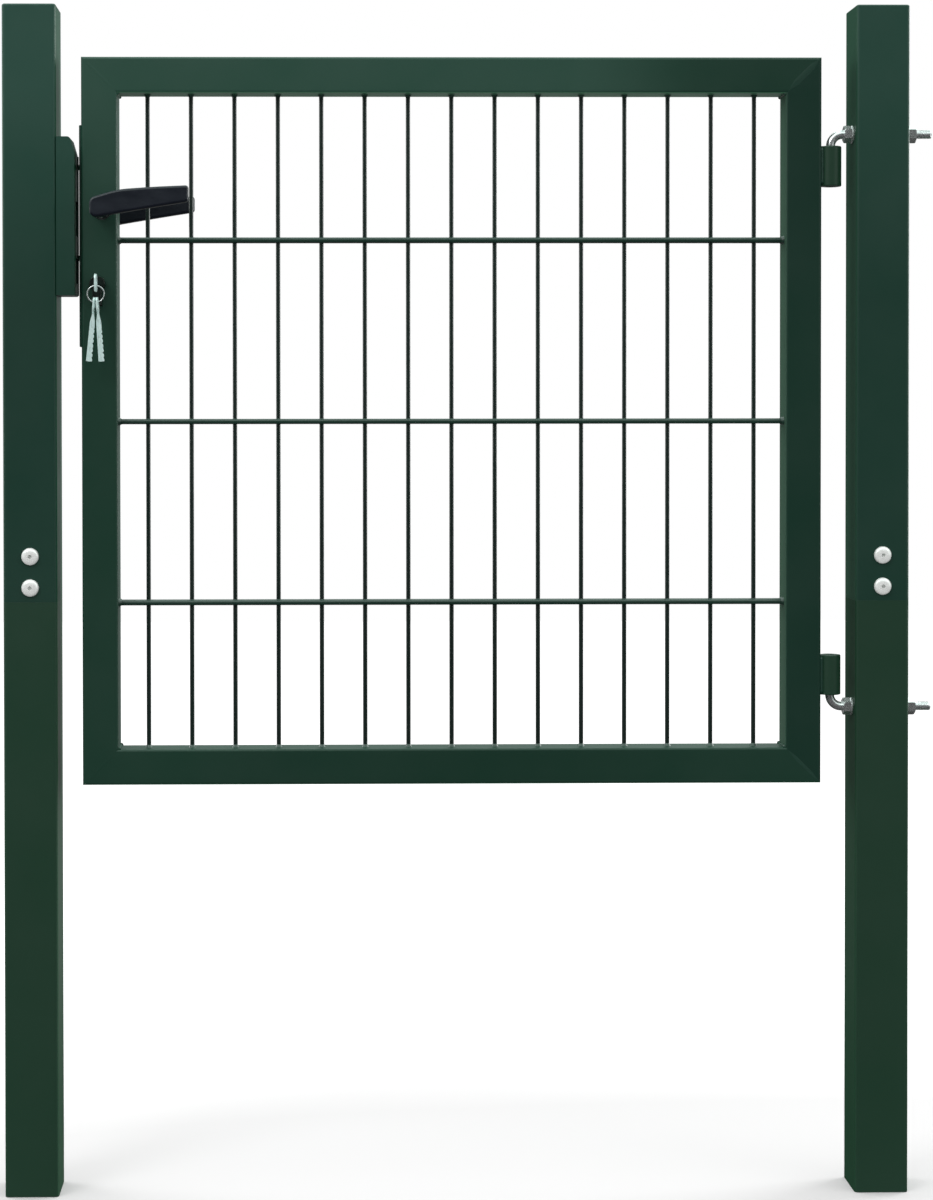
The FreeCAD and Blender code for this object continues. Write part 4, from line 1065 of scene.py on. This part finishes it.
@dataclass
class Posts(Assembly):
    """The two posts: eased halves that leave a fine seam, domed caps and the bolts of their joint."""

    ease: float = 0.9 * MM
    cap_ease: float = 2.2 * MM
    head: float = 9.7 * MM
    rim: float = 1.2 * MM
    dome: float = 5.0 * MM
    socket: float = 3.3 * MM
    depth: float = 2.8 * MM
    bolt_rises: tuple[float, float] = (682 * MM, 717 * MM)

    def build(self) -> None:
        """Build the halves, the caps and the bolts."""
        for post in ("strike_post", "hinge_post"):
            self.half(f"{post}_upper", Finish.GREEN)
            self.half(f"{post}_lower", Finish.FOOT_GREEN)
            self.cap(f"{post}_cap")
        self.bolts()

    def half(self, node: str, finish: Finish) -> None:
        """One half post with its cut ends eased, so that the joint reads as a fine line.

        Args:
            node: the node that it stands for.
            finish: its finish.
        """
        low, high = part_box(node)
        tube = copy_of(node)
        ease(tube, self.ease, 2, at_levels(2, low.z, high.z))
        Piece(f"{node}_tube").put(tube).done(self.shelf, finish, Body.POSTS, 35, node)

    def cap(self, node: str) -> None:
        """A pressed cap with a soft shoulder.

        Args:
            node: the node that it stands for.
        """
        cap = copy_of(node)
        ease(cap, self.cap_ease, 4, at_levels(2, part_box(node)[1].z))
        Piece(f"{node}_pressed").put(cap).done(self.shelf, Finish.GREEN, Body.POSTS, 35, node)

    def bolts(self) -> None:
        """Four button-headed bolts with hexagon sockets, each turned a little differently."""
        piece = Piece("post_joint_bolt_heads")
        for post in ("strike_post_upper", "hinge_post_upper"):
            low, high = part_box(post)
            for i, z in enumerate(self.bolt_rises):
                head = socket_head(self.head, self.rim, self.dome, self.socket, self.depth)
                turn = 0.3 + 0.9 * i + low.x
                piece.put(head, seat(((low.x + high.x) / 2, low.y, z), Along.MINUS_Y, turn))
        piece.done(self.shelf, Finish.DOME_ZINC, Body.POSTS, 35, "post_joint_bolts")


# ---------------------------------------------------------------- hinges


class Level(Enum):
    """The two hinges of the leaf."""

    UPPER = "upper"
    LOWER = "lower"


@dataclass
class HingeHardware(Assembly):
    """The L-shaped hinge bolts with their threads, nuts, washers and welded barrels."""

    axis_x: float = -55 * MM
    axis_y: float = -9 * MM
    rod: float = 5 * MM
    bend: float = 13 * MM
    point: float = 1.2 * MM
    point_share: float = 0.72
    leg_end: float = 58.6 * MM
    leg_short: float = 1.2 * MM
    plain: float = 4 * MM
    pitch: float = 1.5 * MM
    thread_short: float = 0.5 * MM
    core: float = 0.84
    core_run: float = 0.9 * MM
    flats: float = 17 * MM
    thickness: float = 8.4 * MM
    corner: float = 1.5 * MM
    washer: float = 10 * MM
    washer_bore: float = 5.3 * MM
    washer_thickness: float = 2 * MM
    washer_ease: float = 0.35 * MM
    face: float = 30 * MM
    barrel_ease: float = 1.3 * MM
    weld_ys: tuple[float, float] = (-16.4 * MM, -1.6 * MM)
    weld_inset: float = 0.9 * MM
    weld_short: float = 1.5 * MM
    weld: float = 2.1 * MM

    def build(self) -> None:
        """Build the bolts, the barrels, the nuts and the washers."""
        for level in Level:
            self.bolt(level)
            self.barrel(f"{level.value}_hinge_barrel")
        self.nuts()
        self.washers()

    def leg_z(self, level: Level) -> float:
        """The height of a bolt's leg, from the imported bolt's own box."""
        low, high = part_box(f"{level.value}_hinge_bolt")
        return high.z - self.rod if level is Level.UPPER else low.z + self.rod

    def bolt(self, level: Level) -> None:
        """One bent bolt: a plain pin that points at the other hinge, a bend, and a threaded leg.

        Args:
            level: which hinge it is.
        """
        node = f"{level.value}_hinge_bolt"
        low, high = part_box(node)
        sign, pin_end = (1, low.z) if level is Level.UPPER else (-1, high.z)
        leg_z = self.leg_z(level)
        start = Vector((self.axis_x, self.axis_y, leg_z - sign * self.bend))
        bm = bmesh.new()
        ring = bmesh.ops.create_circle(bm, segments=28, radius=self.rod,
                                       matrix=Matrix.Translation(start))["verts"]
        edges = edges_at(ring)
        tip = self.stretch(bm, edges, (0, 0, pin_end - start.z + sign * self.point))
        tip = self.stretch(bm, tip, (0, 0, -sign * self.point), self.point_share,
                           Vector((self.axis_x, self.axis_y, pin_end)))
        bmesh.ops.holes_fill(bm, edges=tip, sides=64)
        made = bmesh.ops.spin(bm, geom=ring + edges, cent=start + Vector((self.bend, 0, 0)), axis=(0, 1, 0),
                              dvec=(0, 0, 0), angle=sign * math.pi / 2, steps=16, use_merge=False,
                              use_normal_flip=False, use_duplicate=False)
        leg = self.stretch(bm, only(Edge, made["geom_last"]), (self.plain, 0, 0))
        root = Vector((self.axis_x + self.bend + self.plain, self.axis_y, leg_z))
        leg = self.stretch(bm, leg, (self.core_run, 0, 0), self.core, root)
        leg = self.stretch(bm, leg, (self.leg_end - root.x - self.leg_short, 0, 0))
        bmesh.ops.holes_fill(bm, edges=leg, sides=64)
        screw = thread(self.rod, self.pitch, self.leg_end - root.x - self.thread_short)
        piece = Piece(f"{node}_rod").put(bm).put(screw, seat(root, Along.X))
        piece.done(self.shelf, Finish.ZINC, Body.POSTS, 35, node)

    @staticmethod
    def stretch(bm: Shape, edges: Sequence[Edge], step: Sequence[float], shrink: float = 1.0,
                middle: Vector | None = None) -> list[Edge]:
        """Carry a rim on by a step and shrink it about its middle.

        Args:
            bm: the shape.
            edges: the rim.
            step: how far it goes.
            shrink: the new rim's size as a share of the old one.
            middle: the middle of the new rim, where it shrinks.

        Returns:
            The new rim.
        """
        made = bmesh.ops.extrude_edge_only(bm, edges=edges)["geom"]
        verts = only(Vert, made)
        bmesh.ops.translate(bm, verts=verts, vec=step)
        if middle is not None:
            bmesh.ops.scale(bm, vec=(shrink, shrink, shrink), space=Matrix.Translation(-middle), verts=verts)
        fresh = set(verts)
        return [edge for edge in only(Edge, made) if all(vert in fresh for vert in edge.verts)]

    def barrel(self, node: str) -> None:
        """One hinge barrel with eased ends and the two weld beads that hold it to the stile.

        Args:
            node: the node that it stands for.
        """
        low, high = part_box(node)
        tube = copy_of(node)
        ease(tube, self.barrel_ease, 3, at_levels(2, low.z, high.z))
        Piece(f"{node}_tube").put(tube).done(self.shelf, Finish.FOOT_GREEN, Body.LEAF, 35, node)
        welds = Piece(f"{node}_welds")
        length = high.z - low.z - 2 * self.weld_short
        for i, y in enumerate(self.weld_ys):
            welds.put(bead(length, self.weld, 12, 1.3 * i + low.z),
                      seat((low.x + self.weld_inset, y, low.z + self.weld_short)))
        # painted highlight: the weld coat is lighter than the coat around it
        welds.done(self.shelf, Finish.PAINTED_HIGHLIGHT_WELD_GREEN, Body.LEAF, 60)

    def nuts(self) -> None:
        """Four hexagon nuts with their corners turned off."""
        piece = Piece("hinge_leg_nuts")
        middle = self.face + self.washer_thickness + self.thickness / 2
        places = [(side * middle, self.axis_y, self.leg_z(level)) for level in Level for side in (-1, 1)]
        piece.put(nut(self.flats, self.thickness, self.corner), *[seat(place, Along.X) for place in places])
        piece.done(self.shelf, Finish.ZINC, Body.POSTS, 25, "hinge_nuts")

    def washers(self) -> None:
        """Four flat washers with eased edges."""
        piece = Piece("hinge_leg_washers")
        eased, thick, wide, bore = self.washer_ease, self.washer_thickness, self.washer, self.washer_bore
        profile = [(bore, 0), (wide - eased, 0), (wide, eased), (wide, thick - eased), (wide - eased, thick),
                   (bore, thick), (bore, 0)]
        seats = [seat((side * self.face, self.axis_y, self.leg_z(level)), along)
                 for level in Level for side, along in ((-1, Along.MINUS_X), (1, Along.X))]
        piece.put(turned(profile, 44), *seats)
        piece.done(self.shelf, Finish.ZINC, Body.POSTS, 30, "hinge_washers")


# ---------------------------------------------------------------- strike box, lock, levers and keys


@dataclass
class StrikeBox(Assembly):
    """The strike box on the left post with its stop lugs, its welds and the folded lip at the closing gap.

    Each weld starts and ends at a share of the box's height and has a number of ripples. The lip is given by its
    width, its height and its thickness.
    """

    ease: float = 0.8 * MM
    front_edge: float = 12 * MM
    back: float = 12 * MM
    bead: float = 1.8 * MM
    bead_inset: tuple[float, float] = (0.6 * MM, 0.5 * MM)
    welds: tuple[tuple[float, float, int], ...] = ((0.03, 0.22, 13), (0.44, 0.60, 11), (0.78, 0.95, 12))
    face: float = -902.8 * MM
    lip: tuple[float, float, float] = (1.9 * MM, 157 * MM, 1.3 * MM)
    lip_rise: float = 1 * MM
    lip_corner: float = 0.6 * MM
    lip_ease: float = 0.3 * MM

    def build(self) -> None:
        """Build the eased box, the welds at the post and the folded lip."""
        low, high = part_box("strike_box")
        box = copy_of("strike_box")
        ease(box, self.ease, 2, at_levels(1, low.y, longer_than=self.front_edge))
        Piece("strike_box_folded").put(box).done(self.shelf, Finish.GREEN, Body.POSTS, 35, "strike_box")
        welds = Piece("strike_box_welds")
        inset_x, inset_y = self.bead_inset
        tall = high.z - low.z
        for start, end, ripples in self.welds:
            foot = low.z + tall * start
            welds.put(bead(tall * (end - start), self.bead, ripples, foot),
                      seat((low.x + inset_x, self.back + inset_y, foot)))
        # painted highlight: the weld coat is lighter than the coat around it
        welds.done(self.shelf, Finish.PAINTED_HIGHLIGHT_WELD_GREEN, Body.POSTS, 60)
        self.rear_lip(low.z + self.lip_rise)

    def rear_lip(self, foot: float) -> None:
        """The narrow lip folded out along the rear edge of the box's right face, behind the bolt openings.

        Args:
            foot: the height of its lower end.
        """
        wide, rise, thick = self.lip
        outline = block_corners((-wide / 2, -rise / 2), (wide / 2, rise / 2), self.lip_corner)
        strip = plate(outline, thick, edge=self.lip_ease, edge_segments=2)
        place = edge_on_plane((self.face + thick / 2, self.back - wide / 2, foot + rise / 2))
        Piece("strike_box_rear_lip").put(strip, place).done(self.shelf, Finish.GREEN, Body.POSTS, 35)


@dataclass
class Lock(Assembly):
    """What shows of the lock: the forend with its screws, and the cylinder with its plugs."""

    forend_ease: float = 0.8 * MM
    forend_edge: float = 20 * MM
    screw: float = 4.2 * MM
    screw_end: float = 9 * MM
    screw_sink: float = 0.75 * MM
    cylinder_ease: float = 0.7 * MM
    plug: float = 6.4 * MM
    plug_sink: float = 0.55 * MM

    def build(self) -> None:
        """Build the pieces of the lock."""
        self.forend()
        self.screws()
        self.cylinder()
        self.plugs()

    def forend(self) -> None:
        """The forend plate with its long edges eased."""
        strip = copy_of("lock_forend")
        ease(strip, self.forend_ease, 2, at_levels(0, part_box("lock_forend")[0].x, longer_than=self.forend_edge))
        Piece("lock_forend_strip").put(strip).done(self.shelf, Finish.GREEN, Body.LEAF, 35, "lock_forend")

    def screws(self) -> None:
        """The forend's two screws with round recesses."""
        low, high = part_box("lock_forend")
        wide = self.screw
        profile = [(0, -0.2 * MM), (wide, -0.2 * MM), (wide, 0.25 * MM), (wide * 0.72, 0.6 * MM),
                   (1.1 * MM, 0.7 * MM), (0.9 * MM, 0.1 * MM), (0, 0.1 * MM)]
        seats = [seat((low.x + self.screw_sink, 0, z), Along.MINUS_X)
                 for z in (low.z + self.screw_end, high.z - self.screw_end)]
        piece = Piece("lock_forend_screws").put(turned(profile, 28), *seats)
        piece.done(self.shelf, Finish.ZINC, Body.LEAF, 30)

    def cylinder(self) -> None:
        """The cylinder's housing with eased faces."""
        low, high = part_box("lock_cylinder")
        housing = copy_of("lock_cylinder")
        ease(housing, self.cylinder_ease, 2, at_levels(1, low.y, high.y))
        # partly painted shade: the dark housing stands where the key casts its shade
        piece = Piece("lock_cylinder_housing").put(housing)
        piece.done(self.shelf, Finish.DARK_CYLINDER_PAINTED_SHADE, Body.LEAF, 35, "lock_cylinder")

    # partly painted shade: the dark plugs stand where the key casts its shade
    def plugs(self) -> None:
        """The turned plugs at both ends of the cylinder."""
        low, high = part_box("lock_cylinder")
        wide = self.plug
        profile = [(0, -0.3 * MM), (wide, -0.3 * MM), (wide, 0.0), (wide - 0.7 * MM, 0.5 * MM),
                   (wide - 1.5 * MM, 0.6 * MM), (0, 0.6 * MM)]
        x, z = (low.x + high.x) / 2, high.z - (high.x - low.x) / 2
        seats = [seat((x, y, z), along) for y, along in ((low.y + self.plug_sink, Along.MINUS_Y),
                                                         (high.y - self.plug_sink, Along.Y))]
        piece = Piece("lock_cylinder_plugs").put(turned(profile), *seats)
        piece.done(self.shelf, Finish.DARK_CYLINDER_PAINTED_SHADE, Body.LEAF, 30)


@dataclass
class Levers(Assembly):
    """The pair of lever handles on their spindle, with outlines and profiles in millimetres."""

    spindle_x: float = -873 * MM
    spindle_z: float = 1103 * MM
    reach: float = 68 * MM
    thickness: float = 12.9 * MM
    neck: float = 8.9 * MM
    face: float = 20.6 * MM
    edge: float = 3.5 * MM
    screw_out: float = 12 * MM
    outline: Corners = (
        (-9.3, -11.3, 8.2), (0.3, -11.3, 2.6), (23.3, -7.1, 6.0), (56.4, -1.5, 9.0), (99.2, 5.3, 3.2),
        (99.2, 23.3, 3.2), (60.0, 21.6, 8.0), (21.1, 18.8, 11.0), (-9.3, 9.5, 5.0))
    neck_root: Outline = ((0.35, -0.6), (0.1, 1.0), (0.0, 2.2))
    neck_end: Outline = (
        (0.0, -9.0), (-0.7, -8.4), (-0.7, -7.4), (0.0, -6.8), (0.0, -1.2), (-0.7, -0.3), (-1.4, 0.0))
    screw: Outline = ((0, -1), (2.0, -1), (2.0, 0.15), (1.6, 0.4), (0.9, 0.4), (0.85, -0.4), (0, -0.4))

    def build(self) -> None:
        """Build the front and the rear lever."""
        self.lever("front_lever", -1)
        self.lever("rear_lever", 1)

    def lever(self, name: str, side: int) -> None:
        """One lever with its neck and its grub screw.

        Args:
            name: the node that it stands for.
            side: -1 for the front and 1 for the back.
        """
        outline = [(x * MM, z * MM, reach * MM) for x, z, reach in self.outline]
        grip = plate(outline, self.thickness, edge=self.edge, edge_segments=5)
        place = (self.spindle_x, side * self.reach, self.spindle_z)
        inner = self.reach - self.thickness / 2
        end = inner - self.face
        profile = [(0.0, self.neck_root[0][1] * MM)]
        profile += [(self.neck + wider * MM, height * MM) for wider, height in self.neck_root]
        profile += [(self.neck + wider * MM, end + height * MM) for wider, height in self.neck_end]
        inward = Along.Y if side < 0 else Along.MINUS_Y
        piece = Piece(f"{name}_moulding").put(grip, upright_plane(place, side))
        piece.put(turned(profile + [(0.0, end)], 48),
                  seat((self.spindle_x, side * inner, self.spindle_z), inward))
        piece.done(self.shelf, Finish.BLACK, Body.HANDLE, 50, name)
        screw = turned([(radius * MM, height * MM) for radius, height in self.screw], 20)
        place = (self.spindle_x, side * (self.face + self.screw_out), self.spindle_z - self.neck)
        piece = Piece(f"{name}_grub_screw").put(screw, seat(place, Along.MINUS_Z))
        piece.done(self.shelf, Finish.DULL_ZINC, Body.HANDLE, 30)


@dataclass
class Keys(Assembly):
    """The key in the cylinder and the two spare keys on their ring, with outlines in millimetres."""

    thickness: float = 2.1 * MM
    eye_y: float = -43 * MM
    key_x: float = -878 * MM
    key_z: float = 1021 * MM
    bow_half: float = 9.9 * MM
    bow_corner: float = 5.6 * MM
    bow_eye: float = 4.05 * MM
    bow_ease: float = 0.45 * MM
    stem_half: float = 3.9 * MM
    stem_root: float = 4.3 * MM
    stem: float = 2.7 * MM
    stem_thickness: float = 1.9 * MM
    stem_ease: float = 0.3 * MM
    wire: float = 1.3 * MM
    wire_thickness: float = 0.6 * MM
    ring_turns: float = 1.25
    ring_pitch: float = 0.62 * MM
    ring_inset: float = 0.05 * MM
    ring_back: float = 0.39 * MM
    ring_start: float = 200.0
    spare_gap: float = 1.6 * MM
    spare_z: float = 1000.6 * MM
    spare_eye: tuple[float, float] = (0, -3.5 * MM)
    spare_eye_radius: float = 3.45 * MM
    spare_ease: float = 0.4 * MM
    blade_ease: float = 0.2 * MM
    bow: Corners = (
        (8, 4.4, 4.2), (-8, 4.4, 4.2), (-8, -9.5, 2.5), (-1.3, -14, 0.4), (1.3, -14, 0.4), (8, -9.5, 2.5))
    blade_half: float = 3.2
    blade_foot: float = -66.9
    first_cut: float = 4.2
    cut_pitch: float = 5.3
    cut_half: float = 1.5
    cuts: tuple[float, ...] = (0.9, 1.6, 0.7, 1.3, 1.0, 1.5, 0.8)

    def build(self) -> None:
        """Build the keys and the ring."""
        self.key()
        self.ring()
        self.spare("left_spare_key", -1, 5.2)
        self.spare("right_spare_key", 1, -4.0)

    def key(self) -> None:
        """The key that is in use: a rounded bow with an eye, and a stem."""
        half, side = self.bow_half, self.stem_half
        bow = plate(block_corners((-half, -half), (half, half), self.bow_corner), self.thickness, [(0, 0)],
                    self.bow_eye, self.bow_ease, 2)
        stem = plate(block_corners((self.stem_root, -side), (half + self.stem, side), 0), self.stem_thickness,
                     edge=self.stem_ease, edge_segments=2)
        place = edge_on_plane((self.key_x, self.eye_y, self.key_z))
        piece = Piece("key_bow_and_stem").put(bow, place).put(stem, place)
        piece.done(self.shelf, Finish.NICKEL, Body.LEAF, 35, "key")

    def ring(self) -> None:
        """A split ring: flat wire wound once and a quarter."""
        low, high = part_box("key_ring")
        middle = (low + high) / 2 + Vector((0, self.ring_back, 0))
        wound = coil((high.x - low.x - self.wire) / 2 - self.ring_inset, self.wire, self.wire_thickness,
                     self.ring_turns, self.ring_pitch)
        piece = Piece("key_ring_wound").put(wound, seat(middle, Along.MINUS_Y, math.radians(self.ring_start)))
        piece.done(self.shelf, Finish.ZINC, Body.LEAF, 45, "key_ring")

    def spare(self, name: str, side: int, lean: float) -> None:
        """A spare key on the ring: its bow edge on, its notched blade face on.

        Args:
            name: the node that it stands for.
            side: -1 for the left one and 1 for the right one.
            lean: its lean from plumb in degrees.
        """
        eye = Matrix.Translation((self.key_x + side * self.spare_gap, self.eye_y, self.spare_z))
        hang = eye @ Matrix.Rotation(math.radians(lean), 4, "Y")
        outline = [(x * MM, z * MM, reach * MM) for x, z, reach in self.bow]
        bow = plate(outline, self.thickness, [self.spare_eye], self.spare_eye_radius, self.spare_ease, 2)
        blade = plate(self.blade(), self.thickness, edge=self.blade_ease, edge_segments=1)
        piece = Piece(f"{name}_blank").put(bow, hang @ edge_on_plane((0, 0, 0)))
        piece.put(blade, hang @ upright_plane((0, 0, 0))).done(self.shelf, Finish.NICKEL, Body.LEAF, 30, name)

    def blade(self) -> Corners:
        """The blade below the eye, with the neck above and the notches on one side.

        Returns:
            Its outline in metres.
        """
        rim, foot = self.blade_half, self.blade_foot
        points = [(1.3, -12.7, 0.2), (-1.3, -12.7, 0.2), (-1.3, -15.3, 0.4), (-2.7, -23, 1.5),
                  (-rim, foot, 0.9), (rim, foot, 0.9)]
        for i, depth in enumerate(self.cuts):
            z = foot + self.first_cut + self.cut_pitch * i
            edge = rim - 0.05 * i
            points += [(edge, z - self.cut_half, 0.2), (rim - depth, z, 0.2), (edge, z + self.cut_half, 0.2)]
        points += [(2.7, -23, 1.5), (1.3, -15.3, 0.4)]
        return [(x * MM, z * MM, reach * MM) for x, z, reach in points]


# ---------------------------------------------------------------- studio


@dataclass(frozen=True)
class Lamp:
    """A soft rectangular lamp."""

    name: str
    place: tuple[float, float, float]
    size: tuple[float, float]
    watts: float

    def hang(self, target: Sequence[float]) -> None:
        """Hang the lamp and aim it.

        Args:
            target: the point that it lights.
        """
        data = bpy.data.lights.new(self.name, "AREA")
        data.shape = "RECTANGLE"
        data.size, data.size_y = self.size
        data.energy = self.watts
        lamp = bpy.data.objects.new(self.name, data)
        bpy.context.scene.collection.objects.link(lamp)
        lamp.location = self.place
        lamp.rotation_euler = (Vector(target) - Vector(self.place)).to_track_quat("-Z", "Y").to_euler()


@dataclass
class Studio:
    """White surroundings, a pale floor and soft lamps.

    Reflections see a dim room in place of the white: its strength goes from left to right and from the front to
    the white behind the gate, with light above and a window on each side. A field of four numbers maps the span
    between the first two to strengths between the last two.
    """

    daylight: float = 1.07
    room_side: tuple[float, float, float, float] = (-0.25, 0.1, 0.07, 0.34)
    room_depth: tuple[float, float, float, float] = (-0.3, 0.3, 0.12, 1.0)
    room_above: tuple[float, float, float, float] = (0.3, 0.65, 0.0, 1.6)
    windows: tuple[float, float, float, float] = (0.42, 0.75, 0.0, 0.5)
    tint: Colour = (0.85, 1.0, 0.94)
    floor_tone: float = 0.60
    floor_lift: tuple[float, float, float, float] = (0.35, 0.9, 0.11, 0.50)
    lift_shape: tuple[float, float, float] = (0.3, 1, 1)
    floor_gloss: tuple[float, float, float, float] = (0.3, 1.3, 0.03, 0.20)
    bounce: float = 0.6
    floor_size: float = 16.0
    floor_drop: float = 0.5 * MM
    aim: tuple[float, float, float] = (-0.47, 0.0, 0.8)
    lamps: tuple[Lamp, ...] = (
        Lamp("key_lamp", (-3.2, -3.0, 4.0), (1.8, 1.8), 54),
        Lamp("fill_lamp", (3.0, -2.2, 2.2), (1.6, 2.4), 8),
        Lamp("back_right_lamp", (2.6, 1.4, 1.6), (1.6, 2.0), 70),
        Lamp("back_left_lamp", (-3.4, 1.4, 1.6), (1.6, 2.0), 40))

    def build(self) -> None:
        """Build the surroundings, the floor and the lamps."""
        self.surroundings()
        self.floor()
        for lamp in self.lamps:
            lamp.hang(self.aim)

    def surroundings(self) -> None:
        """White to the camera, soft daylight on matt faces and the dim room in reflections."""
        world = bpy.data.worlds.new("white_studio")
        bpy.context.scene.world = world
        n = Nodes(world)
        n.tree.nodes.clear()
        ray = n.add("ShaderNodeLightPath").outputs
        way = n.parts(n.add("ShaderNodeTexCoord").outputs["Generated"])
        room = n.math("MULTIPLY_ADD", n.span(way["X"], *self.room_side), n.span(way["Y"], *self.room_depth),
                      n.span(way["Z"], *self.room_above))
        window = n.span(n.math("ABSOLUTE", way["X"]), *self.windows)
        mirror = n.light("ShaderNodeBackground", n.math("ADD", room, window), self.tint)
        soft = n.light("ShaderNodeBackground", self.daylight)
        white = n.light("ShaderNodeBackground", 1.0)
        seen = n.math("MAXIMUM", ray["Is Camera Ray"], ray["Is Transmission Ray"])
        last = n.blend(seen, n.blend(ray["Is Glossy Ray"], soft, mirror), white)
        n.link(last, n.add("ShaderNodeOutputWorld").inputs["Surface"])

    def floor(self) -> None:
        """A pale floor under the whole gate."""
        bm = bmesh.new()
        bmesh.ops.create_grid(bm, x_segments=1, y_segments=1, size=self.floor_size / 2,
                              matrix=Matrix.Translation((self.aim[0], 0, -self.floor_drop)))
        mesh = bpy.data.meshes.new("studio_floor")
        bm.to_mesh(mesh)
        bm.free()
        mesh.materials.append(self.floor_material())
        floor = bpy.data.objects.new("studio_floor", mesh)
        bpy.context.scene.collection.objects.link(floor)

    def floor_material(self) -> bpy.types.Material:
        """The floor's material, which shows the shadow near the posts and is white to the camera farther off.

        Returns:
            The material.
        """
        n = Nodes(bpy.data.materials.new("pale_floor"))
        n.set(Base_Color=(self.floor_tone,) * 3 + (1,), Roughness=0.9, Specular_IOR_Level=0.0)
        ray = n.add("ShaderNodeLightPath").outputs
        length = n.add("ShaderNodeVectorMath", operation="LENGTH")
        n.link(n.place(self.lift_shape), length.inputs[0])
        lift = n.math("MULTIPLY", ray["Is Camera Ray"], n.span(length.outputs["Value"], *self.floor_lift))
        both = n.add("ShaderNodeAddShader")
        n.link(n.shader.outputs["BSDF"], both.inputs[0])
        n.link(n.light("ShaderNodeEmission", lift), both.inputs[1])
        dim = n.light("ShaderNodeEmission", n.span(n.parts(n.place())["Y"], *self.floor_gloss))
        soft = n.light("ShaderNodeEmission", self.bounce)
        last = n.blend(ray["Is Glossy Ray"], n.blend(ray["Is Diffuse Ray"], both.outputs["Shader"], soft), dim)
        n.link(last, n.tree.nodes["Material Output"].inputs["Surface"])
        return n.owner


@dataclass
class PhotoCamera:
    """The camera that took the product picture, in pixels of a frame of 933 by 1200 and in degrees."""

    place: tuple[float, float, float] = (-0.63032, -2.81176, 0.867)
    focal: float = 2494.03
    tall: float = 1200.0
    wide: float = 933.0
    middle: tuple[float, float] = (356.78, 460.11)
    yaw: float = 0.855
    pitch: float = 0.885
    roll: float = -0.068
    sensor: float = 36.0
    far: float = 60.0

    def build(self) -> None:
        """Build the camera, its small turn and the shift that is left."""
        data = bpy.data.cameras.new("photo_camera")
        data.sensor_fit = "AUTO"
        data.sensor_width = self.sensor
        data.lens = self.sensor * self.focal / self.tall
        data.shift_x = (self.wide / 2 - self.middle[0]) / self.tall
        data.shift_y = -(self.tall / 2 - self.middle[1]) / self.tall
        data.clip_end = self.far
        camera = bpy.data.objects.new("photo_camera", data)
        bpy.context.scene.collection.objects.link(camera)
        matrix = Matrix.Translation(self.place)
        for angle, axis in ((-self.yaw, "Z"), (90 - self.pitch, "X"), (self.roll, "Z")):
            matrix = matrix @ Matrix.Rotation(math.radians(angle), 4, axis)
        camera.matrix_world = matrix
        bpy.context.scene.camera = camera


def clear_start_scene() -> None:
    """Remove what Blender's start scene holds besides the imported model."""
    kept = set(frame["nodes"].values()) | set(frame["bodies"].values())
    for thing in list(bpy.data.objects):
        if thing not in kept:
            bpy.data.objects.remove(thing)


def main() -> None:
    """Build the camera, the studio and every piece."""
    logging.basicConfig(level=logging.INFO, format="%(message)s")
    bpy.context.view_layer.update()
    clear_start_scene()
    bpy.context.scene.view_settings.view_transform = "Standard"
    PhotoCamera().build()
    Studio().build()
    shelf = FinishShelf()
    shelf.coat_nodes()
    for assembly in (Posts, LeafFrame, WireMesh, HingeHardware, StrikeBox, Lock, Levers, Keys):
        assembly(shelf).build()
        log.info("%s is built", assembly.__name__)


if __name__ == "__main__":
    main()
